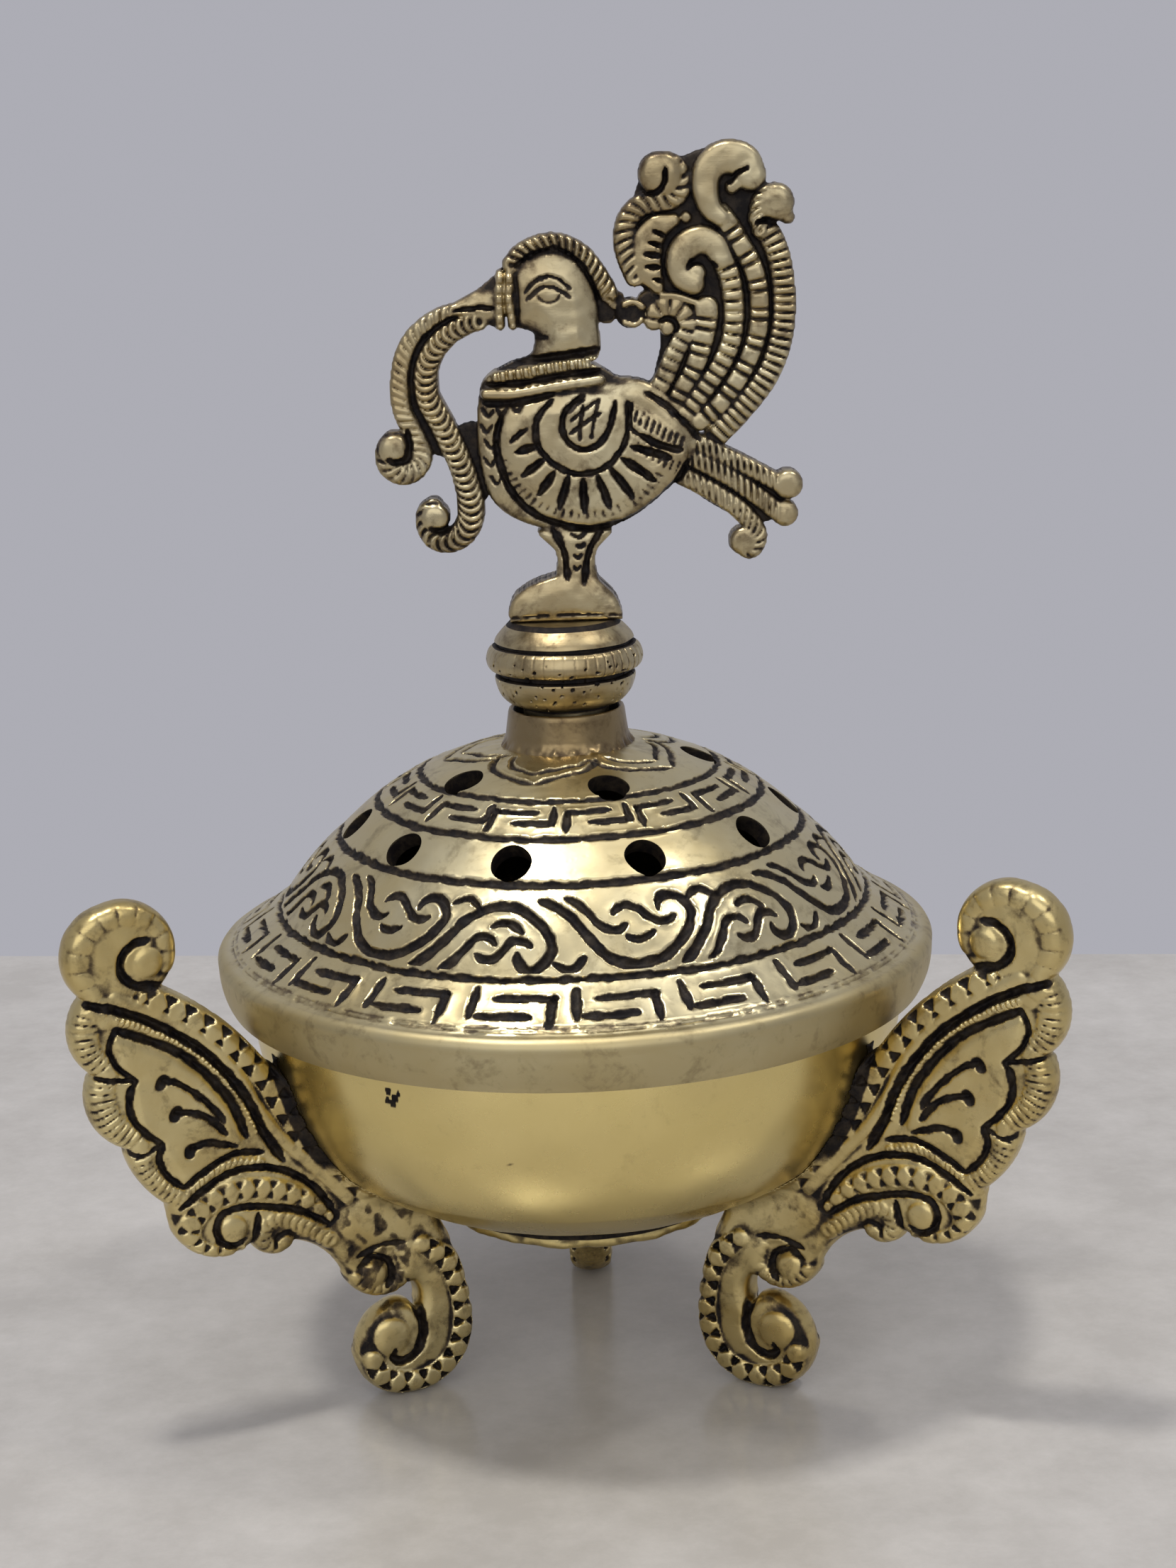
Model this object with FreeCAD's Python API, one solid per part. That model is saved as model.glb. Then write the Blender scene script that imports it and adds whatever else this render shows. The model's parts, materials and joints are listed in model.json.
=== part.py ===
"""Tripod brass incense burner with a lift-off pierced lid and a peacock finial.

Frame: millimetres, +Z up, origin on the bowl's axis at the level of the feet,
-Y towards the front, so that the peacock's flat side faces the front.
"""
import FreeCAD, Part
import math
import os

# ---------------------------------------------------------------- driving sizes
# bowl, turned
RIM_Z = 54.2                # parting face between bowl and lid
RIM_R = 44.0                # outside of the bowl at the rim
WALL = 2.0
REBATE_R = 42.0             # inside of the rim, where the lid's ring drops in
REBATE_Z = 49.2
SHOULDER_R, SHOULDER_Z = 36.0, 33.0
BELLY_END = (20.6, 25.4)    # where the belly meets the groove above the foot ring
GROOVE = (19.0, 24.8)
BASE_Z = 22.3               # underside of the bowl's turned foot ring
BASE_R = 19.7
BASE_RECESS_R = 16.5
RECESS_TOP_Z = 24.4
FLOOR_Z = 26.6              # inside floor of the bowl

# three cast legs, brazed on by eye: the spacing is not quite even
LEG_AZIMUTHS = {"front_left": 206.0, "front_right": 329.0, "rear": 89.0}
LEG_THICK = 4.8
FOOT_THICK = 5.8
FOOT_TOP_Z = 14.0           # the foot scroll is thicker below this height

# screws that hold the legs, driven outwards from inside the bowl
SCREW_POINT = (28.6, 28.2)  # radius and height where the screw crosses the bowl's outside
SCREW_LEAN = 29.0           # degrees between the screw's axis and straight down
SCREW_R = 1.5
SCREW_REACH = 8.0           # length inside the leg
SCREW_HEAD_R = 2.8
SCREW_HEAD_THICK = 1.6
SEAT_DEPTH = 0.5            # spot face under the head
SLOT_WIDTH, SLOT_DEPTH = 0.8, 0.6

# lid, cast and turned
LID_EDGE_R = 48.0           # widest part of the rounded edge
LID_WALL = 2.2
LID_LIP_R = 41.6            # inside of the lid at its lip
CROWN_R, CROWN_Z = 8.4, 86.7
CROWN_UNDERSIDE_Z = 84.3
CROWN_UNDERSIDE_R = 8.2
BAND = (39.3, 66.1)         # outer edge of the scroll band
LEDGE = (31.0, 75.5)        # inner edge of the scroll band
RING_R = 41.6               # locating ring brazed inside the lip
RING_THICK = 1.5
RING_LOW_Z = 49.9
RING_TOP_Z = 56.6

VENT_R = 2.65
VENT_RING_R, VENT_RING_Z, VENT_LEAN = 28.4, 77.4, 35.0
VENT_AZIMUTHS = (-170, -138, -105, -71, -35, -1, 31, 63, 95, 127, 158)
UPPER_VENT_RING_R, UPPER_VENT_RING_Z, UPPER_VENT_LEAN = 17.5, 84.6, 17.0
UPPER_VENT_AZIMUTHS = (-141, -73, -1, 71, 145)

# finial: collar, knob, peacock and the stud that clamps them to the lid
COLLAR_TOP_Z = 91.6
COLLAR_FOOT_R, COLLAR_TOP_R = 8.3, 7.7
COLLAR_RECESS_R = 6.9       # the knob's neck stands in this recess
KNOB_LOW_Z = 90.1
KNOB_NECK_R = 5.8
STUD_R = 2.0
STUD_HOLE_R = 2.05
STUD_LOW_Z, STUD_TOP_Z = 78.6, 106.6
WASHER_R, WASHER_THICK = 6.0, 1.0
NUT_FLATS, NUT_THICK = 7.0, 3.2
KNOB_TOP_Z = 103.3

# peacock casting, flat and alike on both sides
BODY_THICK = 6.4
WING_THICK = 7.4
TAIL_THICK = 4.8
STRAND_THICK = 4.0
PLINTH_LEFT, PLINTH_RIGHT = -7.2, 8.2


# ---------------------------------------------------------------- helpers
def vec(x, y, z=0.0):
    return FreeCAD.Vector(x, y, z)


def upright(x, z):
    """A point of a drawing that stands in the XZ plane."""
    return vec(x, 0.0, z)


def arc(a, b, c):
    return Part.Arc(upright(*a), upright(*b), upright(*c)).toShape()


def line(a, b):
    return Part.LineSegment(upright(*a), upright(*b)).toShape()


def lathe(edges):
    """Solid of revolution about Z from a closed loop of edges in the XZ plane."""
    face = Part.Face(Part.Wire(edges))
    return face.revolve(vec(0, 0, 0), vec(0, 0, 1), 360)


def lathe_polygon(points):
    loop = list(points) + [points[0]]
    return lathe([line(a, b) for a, b in zip(loop, loop[1:])])


def cylinder(radius, low, high, x=0.0, y=0.0):
    return Part.makeCylinder(radius, high - low, vec(x, y, low), vec(0, 0, 1))


def plate(edges, thick):
    """Flat plate of the given thickness, centred on the XZ plane."""
    face = Part.Face(Part.Wire(edges))
    solid = face.extrude(vec(0, thick, 0))
    solid.translate(vec(0, -thick / 2, 0))
    return solid


def disc(x, z, radius, thick):
    return Part.makeCylinder(radius, thick, vec(x, -thick / 2, z), vec(0, 1, 0))


def outline(points):
    """Closed loop of three-point arcs: corner, point between, corner, point between ..."""
    loop = list(points) + [points[0]]
    edges = []
    for i in range(0, len(points), 2):
        if loop[i + 1] is None:
            edges.append(line(loop[i], loop[i + 2]))
        else:
            edges.append(arc(loop[i], loop[i + 1], loop[i + 2]))
    return edges


def ribbon(path, width, thick):
    """Bar of constant width along a chain of three-point arcs, with round joints and ends."""
    pieces = [disc(path[0][0], path[0][1], width / 2, thick)]
    for i in range(0, len(path) - 2, 2):
        middle = Part.Arc(*[upright(*p) for p in path[i:i + 3]]).toShape().Curve
        rims = []
        for offset in (width / 2, -width / 2):
            rim = []
            for p in path[i:i + 3]:
                outward = upright(*p) - middle.Center
                outward.normalize()
                q = middle.Center + outward * (middle.Radius + offset)
                rim.append((q.x, q.z))
            rims.append(rim)
        outer, inner = rims
        loop = [arc(*outer), line(outer[2], inner[2]), arc(*inner), line(inner[0], outer[0])]
        pieces.append(plate(Part.__sortEdges__(loop), thick))
        end = path[i + 2]
        pieces.append(disc(end[0], end[1], width / 2, thick))
    return fuse(pieces)


def fuse(solids):
    joined = solids[0].multiFuse(solids[1:]) if len(solids) > 1 else solids[0]
    return joined.removeSplitter()


def turned_to(shape, azimuth):
    """Copy of a shape drawn along +X, swung round the axis to an azimuth."""
    copy = shape.copy()
    copy.rotate(vec(0, 0, 0), vec(0, 0, 1), azimuth)
    return copy


# ---------------------------------------------------------------- bowl and legs
def bowl_outside():
    """Edges of the bowl's outer skin, from the rim down to its turned foot ring."""
    shoulder = (SHOULDER_R, SHOULDER_Z)
    return [
        arc((RIM_R, RIM_Z), (42.2, 43.8), shoulder),
        arc(shoulder, (28.6, 28.2), BELLY_END),
        line(BELLY_END, GROOVE),
        line(GROOVE, (BASE_R, GROOVE[1] - 0.6)),
        line((BASE_R, GROOVE[1] - 0.6), (BASE_R, BASE_Z + 0.6)),
        line((BASE_R, BASE_Z + 0.6), (BASE_R - 0.6, BASE_Z)),
    ]


def bowl_blank():
    """The bowl as if it were solid, used to fit the leg roots."""
    closing = [
        line((BASE_R - 0.6, BASE_Z), (0, BASE_Z)),
        line((0, BASE_Z), (0, RIM_Z)),
        line((0, RIM_Z), (RIM_R, RIM_Z)),
    ]
    return lathe(bowl_outside() + closing)


def screw_seat_axis():
    """Direction of a leg screw, out of the bowl, in the leg's own XZ plane."""
    lean = math.radians(SCREW_LEAN)
    return vec(math.sin(lean), 0, -math.cos(lean))


def make_bowl():
    floor_edge = (17.0, FLOOR_Z + 0.3)
    side = (33.6, 34.6)
    ledge = (REBATE_R - 0.9, REBATE_Z)
    inside = [
        line((BASE_R - 0.6, BASE_Z), (BASE_RECESS_R, BASE_Z)),
        line((BASE_RECESS_R, BASE_Z), (BASE_RECESS_R - 0.8, RECESS_TOP_Z)),
        line((BASE_RECESS_R - 0.8, RECESS_TOP_Z), (0, RECESS_TOP_Z)),
        line((0, RECESS_TOP_Z), (0, FLOOR_Z)),
        line((0, FLOOR_Z), floor_edge),
        arc(floor_edge, (27.0, 29.8), side),
        arc(side, (39.3, 42.2), ledge),
        line(ledge, (REBATE_R, REBATE_Z)),
        line((REBATE_R, REBATE_Z), (REBATE_R, RIM_Z)),
        line((REBATE_R, RIM_Z), (RIM_R, RIM_Z)),
    ]
    bowl = lathe(bowl_outside() + inside)
    axis = screw_seat_axis()
    at = upright(*SCREW_POINT)
    seat_low = at - axis * (WALL - SEAT_DEPTH)
    drill = Part.makeCylinder(SCREW_R, 12, at - axis * 6, axis)
    spot_face = Part.makeCylinder(SCREW_HEAD_R + 0.2, 6, seat_low, axis * -1)
    for azimuth in LEG_AZIMUTHS.values():
        bowl = bowl.cut(turned_to(drill.fuse(spot_face), azimuth))
    return bowl


def make_leg():
    """Flat scrolled casting drawn along +X: x is the radius from the bowl's axis."""
    shape = [
        (26.0, 30.0), (19.7, 17.5), (18.3, 8.7), (20.4, 2.9),      # shin
        (25.4, 0.0), None,                                          # filed flat on the foot
        (29.2, 0.0), (35.3, 6.4), (30.9, 13.2), (28.5, 13.6),       # foot scroll
        (26.4, 11.8), (26.0, 13.8),
        (26.9, 15.9), (32.2, 14.8), (36.6, 19.3), (39.2, 22.9),     # chin curl, underside
        (43.0, 25.0), (45.8, 23.9), (48.9, 25.9), (56.6, 26.4),     # two scrolls
        (59.8, 33.7), (63.2, 37.6), (65.0, 42.5), (69.1, 47.6),     # lobed outer edge
        (68.4, 53.0), (70.8, 58.2), (68.9, 63.0), (70.8, 69.0),
        (65.4, 74.3), (57.6, 72.0), (58.2, 63.0), (49.2, 55.6),     # top scroll, inner edge
        (42.3, 45.0), (38.2, 38.2), (31.8, 31.8), None,
    ]
    body = plate(outline(shape), LEG_THICK)
    foot = plate(outline([
        (20.4, FOOT_TOP_Z), (18.2, 8.7), (20.4, 2.9), (22.6, 0.9),
        (25.4, 0.0), None,
        (29.2, 0.0), (35.3, 6.4), (30.9, 13.2), (28.5, 13.6),
        (26.4, 11.8), None,
    ]), FOOT_THICK)
    leg = fuse([body, foot]).cut(bowl_blank())
    axis = screw_seat_axis()
    tapped = Part.makeCylinder(SCREW_R, SCREW_REACH + 3, upright(*SCREW_POINT) - axis * 3, axis)
    return leg.cut(tapped)


def make_leg_screw():
    axis = screw_seat_axis()
    at = upright(*SCREW_POINT)
    seat = at - axis * (WALL - SEAT_DEPTH)
    shank = Part.makeCylinder(SCREW_R, WALL - SEAT_DEPTH + SCREW_REACH, seat, axis)
    head = Part.makeCylinder(SCREW_HEAD_R, SCREW_HEAD_THICK, seat, axis * -1)
    length = 2 * SCREW_HEAD_R + 2
    slot = Part.makeBox(length, SLOT_WIDTH, 1.0, vec(-length / 2, -SLOT_WIDTH / 2, 0))
    slot.rotate(vec(0, 0, 0), vec(0, 1, 0), -SCREW_LEAN)
    slot.translate(seat - axis * (SCREW_HEAD_THICK - SLOT_DEPTH))
    return shank.fuse(head).cut(slot).removeSplitter()


# ---------------------------------------------------------------- lid
def make_lid():
    """Pierced dome with a rounded edge; the shoulder band is flatter than the scroll band."""
    low, widest, shoulder = (46.8, RIM_Z), (LID_EDGE_R, 59.2), (46.5, 61.2)
    under_ledge, under_band = (29.3, 74.0), (37.6, 64.6)
    edges = [
        arc(low, (47.75, 56.6), widest),
        arc(widest, (47.7, 60.7), shoulder),
        line(shoulder, BAND),
        arc(BAND, (35.7, 71.0), LEDGE),
        arc(LEDGE, (20.3, 83.2), (CROWN_R, CROWN_Z)),
        line((CROWN_R, CROWN_Z), (0, CROWN_Z)),
        line((0, CROWN_Z), (0, CROWN_UNDERSIDE_Z)),
        line((0, CROWN_UNDERSIDE_Z), (CROWN_UNDERSIDE_R, CROWN_UNDERSIDE_Z)),
        arc((CROWN_UNDERSIDE_R, CROWN_UNDERSIDE_Z), (19.3, 81.2), under_ledge),
        arc(under_ledge, (33.7, 69.9), under_band),
        line(under_band, (LID_LIP_R, shoulder[1])),
        line((LID_LIP_R, shoulder[1]), (LID_LIP_R, RIM_Z)),
        line((LID_LIP_R, RIM_Z), low),
    ]
    lid = lathe(edges).cut(cylinder(STUD_HOLE_R, CROWN_UNDERSIDE_Z - 1, CROWN_Z + 1))
    rows = (
        (VENT_AZIMUTHS, VENT_RING_R, VENT_RING_Z, VENT_LEAN),
        (UPPER_VENT_AZIMUTHS, UPPER_VENT_RING_R, UPPER_VENT_RING_Z, UPPER_VENT_LEAN),
    )
    for azimuths, radius, height, lean in rows:
        tilt = math.radians(lean)
        axis = vec(math.sin(tilt), 0, math.cos(tilt))
        drill = Part.makeCylinder(VENT_R, 12, upright(radius, height) - axis * 7, axis)
        for azimuth in azimuths:
            lid = lid.cut(turned_to(drill, azimuth))
    return lid


def make_locating_ring():
    return lathe_polygon([
        (RING_R - RING_THICK, RING_LOW_Z),
        (RING_R - 0.5, RING_LOW_Z),
        (RING_R, RING_LOW_Z + 0.8),
        (RING_R, RING_TOP_Z),
        (RING_R - RING_THICK, RING_TOP_Z),
    ])


# ---------------------------------------------------------------- finial
def make_collar():
    return lathe_polygon([
        (STUD_HOLE_R, CROWN_Z),
        (COLLAR_FOOT_R, CROWN_Z),
        (COLLAR_TOP_R, COLLAR_TOP_Z - 0.4),
        (COLLAR_TOP_R - 0.4, COLLAR_TOP_Z),
        (COLLAR_RECESS_R, COLLAR_TOP_Z),
        (COLLAR_RECESS_R, KNOB_LOW_Z),
        (STUD_HOLE_R, KNOB_LOW_Z),
    ])


def make_knob():
    """Turned knob: neck, cup, rounded ring between two grooves, upper dome."""
    neck_top, cup, lower_groove = (KNOB_NECK_R, 92.0), (9.35, 95.8), (8.9, 96.3)
    ring_low, ring_high, upper_groove = (9.4, 96.8), (9.4, 100.1), (8.9, 100.35)
    dome_low, dome_top = (9.2, 100.6), (6.9, KNOB_TOP_Z)
    edges = [
        line((STUD_HOLE_R, KNOB_LOW_Z), (KNOB_NECK_R, KNOB_LOW_Z)),
        line((KNOB_NECK_R, KNOB_LOW_Z), neck_top),
        arc(neck_top, (8.3, 93.3), cup),
        line(cup, lower_groove),
        line(lower_groove, ring_low),
        arc(ring_low, (10.3, 98.4), ring_high),
        line(ring_high, upper_groove),
        line(upper_groove, dome_low),
        arc(dome_low, (8.5, 102.2), dome_top),
        line(dome_top, (STUD_HOLE_R, KNOB_TOP_Z)),
        line((STUD_HOLE_R, KNOB_TOP_Z), (STUD_HOLE_R, KNOB_LOW_Z)),
    ]
    return lathe(edges)


def make_washer():
    high = CROWN_UNDERSIDE_Z
    low = high - WASHER_THICK
    return cylinder(WASHER_R, low, high).cut(cylinder(STUD_HOLE_R, low - 1, high + 1))


def make_nut():
    high = CROWN_UNDERSIDE_Z - WASHER_THICK
    low = high - NUT_THICK
    corner = NUT_FLATS / math.sqrt(3)
    turns = [math.radians(60 * k) for k in range(7)]
    rim = Part.makePolygon([vec(corner * math.cos(t), corner * math.sin(t), low) for t in turns])
    blank = Part.Face(rim).extrude(vec(0, 0, NUT_THICK))
    return blank.cut(cylinder(STUD_R, low - 1, high + 1))


def make_stud():
    return cylinder(STUD_R, STUD_LOW_Z, STUD_TOP_Z)


def make_peacock():
    """Flat openwork casting: plinth, stalk, body, head, raised tail and loose strands."""
    silhouette = plate(outline([
        (PLINTH_RIGHT, KNOB_TOP_Z), (7.4, 106.6), (4.7, 109.6), (4.0, 112.4),   # plinth, stalk
        (6.0, 114.8), (10.4, 115.9), (14.2, 119.8), (17.4, 124.6),              # belly, wing tip
        (14.0, 131.4), (10.6, 134.4), (6.2, 135.6), (6.0, 139.2),               # back, nape
        (7.6, 145.6), (6.2, 150.0), (1.2, 152.2), (-2.6, 151.6),                # crest
        (-5.0, 149.6), (-6.0, 148.6), (-7.0, 148.0), (-9.2, 145.6),             # brow, beak
        (-12.8, 144.1), (-9.6, 142.6), (-6.4, 141.9), (-4.6, 141.2),
        (-3.0, 139.2), (-4.8, 137.4), (-8.4, 135.8), (-9.5, 134.8),             # throat, breast
        (-9.8, 132.6), (-10.4, 126.6), (-9.3, 120.3), (-6.6, 117.2),
        (-1.8, 115.1), (-0.4, 112.4), (-0.7, 109.6), (-6.2, 107.0),             # stalk, plinth
        (PLINTH_LEFT, KNOB_TOP_Z), None,
    ]), BODY_THICK)
    wing = Part.Ellipse(upright(16.6, 124.0), upright(4.4, 133.2), upright(4.4, 124.3))
    wing = plate([wing.toShape()], WING_THICK)
    tail = plate(outline([
        (13.0, 132.0), (20.0, 127.6), (23.4, 127.8), (28.8, 133.4),             # outer edge
        (31.0, 142.0), (31.2, 148.4), (29.8, 152.6), (32.2, 156.2),
        (28.0, 159.2), (26.6, 162.8), (22.0, 164.1), (19.4, 163.9),
        (16.6, 162.6), (12.6, 163.2), (11.0, 158.8), (8.2, 155.6),              # top scrolls
        (8.6, 149.6), (9.4, 146.6), (10.6, 144.6), (14.6, 140.0),               # inner edge
        (11.6, 134.4), None,
    ]), TAIL_THICK)
    parts = [silhouette, wing, tail, disc(9.2, 143.4, 2.4, STRAND_THICK)]
    strands = (
        ([(-11.0, 143.8), (-18.3, 141.4), (-20.2, 134.0), (-19.4, 129.8), (-17.2, 125.6),
          (-20.6, 122.4), (-22.4, 126.4), (-21.6, 128.2), (-20.0, 128.4)], 2.3),
        ([(-9.0, 142.0), (-15.0, 137.6), (-15.6, 129.8), (-13.8, 125.8), (-11.6, 121.8),
          (-10.8, 118.2), (-12.6, 114.4), (-16.4, 114.0), (-17.8, 117.4), (-16.8, 118.6),
          (-15.4, 118.2)], 2.9),
        ([(13.0, 127.0), (22.4, 124.4), (29.4, 120.4)], 2.6),
        ([(13.0, 124.0), (22.2, 121.0), (29.6, 115.0)], 2.6),
        ([(13.0, 121.6), (20.6, 119.2), (26.2, 113.8), (25.2, 111.8), (23.4, 113.0)], 2.4),
    )
    for path, width in strands:
        parts.append(ribbon(path, width, STRAND_THICK))
    for x, z, radius in ((-20.9, 126.6, 2.2), (-16.1, 117.4, 2.2), (30.2, 120.4, 1.7), (23.8, 113.4, 1.8)):
        parts.append(disc(x, z, radius, STRAND_THICK))
    socket = cylinder(STUD_R, KNOB_TOP_Z - 1, STUD_TOP_Z)
    return fuse(parts).cut(socket)


# ---------------------------------------------------------------- write the parts
def build():
    leg = make_leg()
    screw = make_leg_screw()
    nodes = {"bowl": make_bowl()}
    for place, azimuth in LEG_AZIMUTHS.items():
        nodes["leg_" + place] = turned_to(leg, azimuth)
        nodes["leg_screw_" + place] = turned_to(screw, azimuth)
    nodes["lid"] = make_lid()
    nodes["lid_locating_ring"] = make_locating_ring()
    nodes["lid_collar"] = make_collar()
    nodes["finial_knob"] = make_knob()
    nodes["finial_peacock"] = make_peacock()
    nodes["finial_stud"] = make_stud()
    nodes["finial_washer"] = make_washer()
    nodes["finial_nut"] = make_nut()
    return nodes


os.makedirs("parts", exist_ok=True)
for name, solid in build().items():
    solid.exportStep("parts/" + name + ".step")
    print(name, solid.ShapeType, "solids", len(solid.Solids), "valid", solid.isValid(), round(solid.Volume))
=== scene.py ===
"""Looks of the brass tripod incense burner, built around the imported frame. Drawings are in millimetres."""
import json
import math

import bmesh
import bpy
import numpy as np
from mathutils import Matrix, Vector

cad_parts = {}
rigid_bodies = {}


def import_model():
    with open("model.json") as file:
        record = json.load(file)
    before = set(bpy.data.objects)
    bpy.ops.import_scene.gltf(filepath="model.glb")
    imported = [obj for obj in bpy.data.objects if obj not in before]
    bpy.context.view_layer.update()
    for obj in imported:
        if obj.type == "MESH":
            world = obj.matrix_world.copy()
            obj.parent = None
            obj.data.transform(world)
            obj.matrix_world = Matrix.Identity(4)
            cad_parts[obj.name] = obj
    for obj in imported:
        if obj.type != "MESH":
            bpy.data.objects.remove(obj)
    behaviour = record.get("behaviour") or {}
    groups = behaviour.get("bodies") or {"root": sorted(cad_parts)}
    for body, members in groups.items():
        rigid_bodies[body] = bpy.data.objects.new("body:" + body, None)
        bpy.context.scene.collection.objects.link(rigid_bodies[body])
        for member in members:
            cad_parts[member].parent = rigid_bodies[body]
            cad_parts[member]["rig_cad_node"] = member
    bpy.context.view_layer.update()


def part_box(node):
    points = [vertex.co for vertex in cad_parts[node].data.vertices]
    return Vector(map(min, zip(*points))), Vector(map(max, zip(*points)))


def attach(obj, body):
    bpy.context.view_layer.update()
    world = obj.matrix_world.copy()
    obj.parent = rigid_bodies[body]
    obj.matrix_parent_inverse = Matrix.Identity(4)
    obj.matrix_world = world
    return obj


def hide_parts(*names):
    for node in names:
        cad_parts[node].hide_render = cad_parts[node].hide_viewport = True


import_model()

MM = 0.001
DETAIL = 0.21        # voxel size of the castings, mm
rng = np.random.default_rng(11)


# ---------------------------------------------------------------- frame sizes, mm
def box_mm(node):
    low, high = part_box(node)
    return np.array(low) / MM, np.array(high) / MM


BOWL_LOW, BOWL_HIGH = box_mm("bowl")
LID_LOW, LID_HIGH = box_mm("lid")
COLLAR_LOW, COLLAR_HIGH = box_mm("lid_collar")
KNOB_LOW, KNOB_HIGH = box_mm("finial_knob")
BIRD_LOW, BIRD_HIGH = box_mm("finial_peacock")
_, LEG_HIGH = box_mm("leg_rear")        # it stands along Y, so its Y is the radius
RIM_Z = BOWL_HIGH[2]
BASE_Z = BOWL_LOW[2]
SEAM = -270                             # azimuth where turned pieces close, at the back


# ---------------------------------------------------------------- curves
def smooth_line(points, spacing=0.3, closed=False):
    """Even points along a smooth curve through a few given ones."""
    p = np.asarray(points, float)
    if closed:
        p = np.vstack([p[-1], p, p[0], p[1]])
    else:
        p = np.vstack([2 * p[0] - p[1], p, 2 * p[-1] - p[-2]])
    out = []
    for a, b, c, d in zip(p, p[1:], p[2:], p[3:]):
        count = max(2, int(math.ceil(np.linalg.norm(c - b) / spacing)))
        t = np.arange(count)[:, None] / count
        out.append(0.5 * (2 * b + (c - a) * t + (2 * a - 5 * b + 4 * c - d) * t ** 2
                          + (3 * b - a - 3 * c + d) * t ** 3))
    if not closed:
        out.append(p[-2][None])
    return np.vstack(out)


def arc3(a, b, c, count=24):
    """Points on the circle from a through b to c."""
    (ax, ay), (bx, by), (cx, cy) = a, b, c
    d = 2 * (ax * (by - cy) + bx * (cy - ay) + cx * (ay - by))
    ux = ((ax**2 + ay**2) * (by - cy) + (bx**2 + by**2) * (cy - ay) + (cx**2 + cy**2) * (ay - by)) / d
    uy = ((ax**2 + ay**2) * (cx - bx) + (bx**2 + by**2) * (ax - cx) + (cx**2 + cy**2) * (bx - ax)) / d
    r = math.hypot(ax - ux, ay - uy)
    t0, t1, t2 = (math.atan2(y - uy, x - ux) for x, y in (a, b, c))
    t1 = t0 + (t1 - t0) % (2 * math.pi)
    t2 = t0 + (t2 - t0) % (2 * math.pi)
    if t1 > t2:
        t2 -= 2 * math.pi
    t = np.linspace(t0, t2, count)
    return np.stack([ux + r * np.cos(t), uy + r * np.sin(t)], -1)


def blur(field, size):
    """Gaussian blur by three box passes; size in samples."""
    n = max(1, int(round(size)))
    for axis in (0, 1):
        for _ in range(3):
            pad = [(0, 0), (0, 0)]
            pad[axis] = (n + 1, n)
            total = np.cumsum(np.pad(field, pad, mode="edge"), axis=axis)
            high = np.take(total, np.arange(2 * n + 1, total.shape[axis]), axis=axis)
            low = np.take(total, np.arange(0, total.shape[axis] - 2 * n - 1), axis=axis)
            field = (high - low) / (2 * n + 1)
    return field


# ---------------------------------------------------------------- relief drawings
FAR = 20.0                              # farther than any drawn outline reaches
EDGE_HEIGHT = 1.6                       # height of a rounded bar or ball at its edge
SQUARENESS = 3.6                        # 2 gives a round back, more a flatter one


def beads(pitch, depth=0.5, slant=0.0, bow=0.0, power=4.0):
    """Pattern along a rod: swellings with sharp grooves between; slanted, or bowed into scales."""
    def pattern(arc, offset, half):
        turn = (arc + slant * offset + bow * offset ** 2) / pitch
        gap = np.abs(turn - np.floor(turn) - 0.5) * 2
        return 1 - depth * gap ** power
    return pattern


def rings(pitch, width=0.5, depth=0.4):
    """Pattern along a rod: raised collars with plain metal between."""
    def pattern(arc, offset, half):
        turn = arc / pitch
        away = np.abs(turn - np.floor(turn) - 0.5) * pitch
        return 1 + depth * 0.35 * (away < width) - 1.6 * depth * np.exp(-((away - width * 1.25) / 0.26) ** 2)
    return pattern


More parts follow.
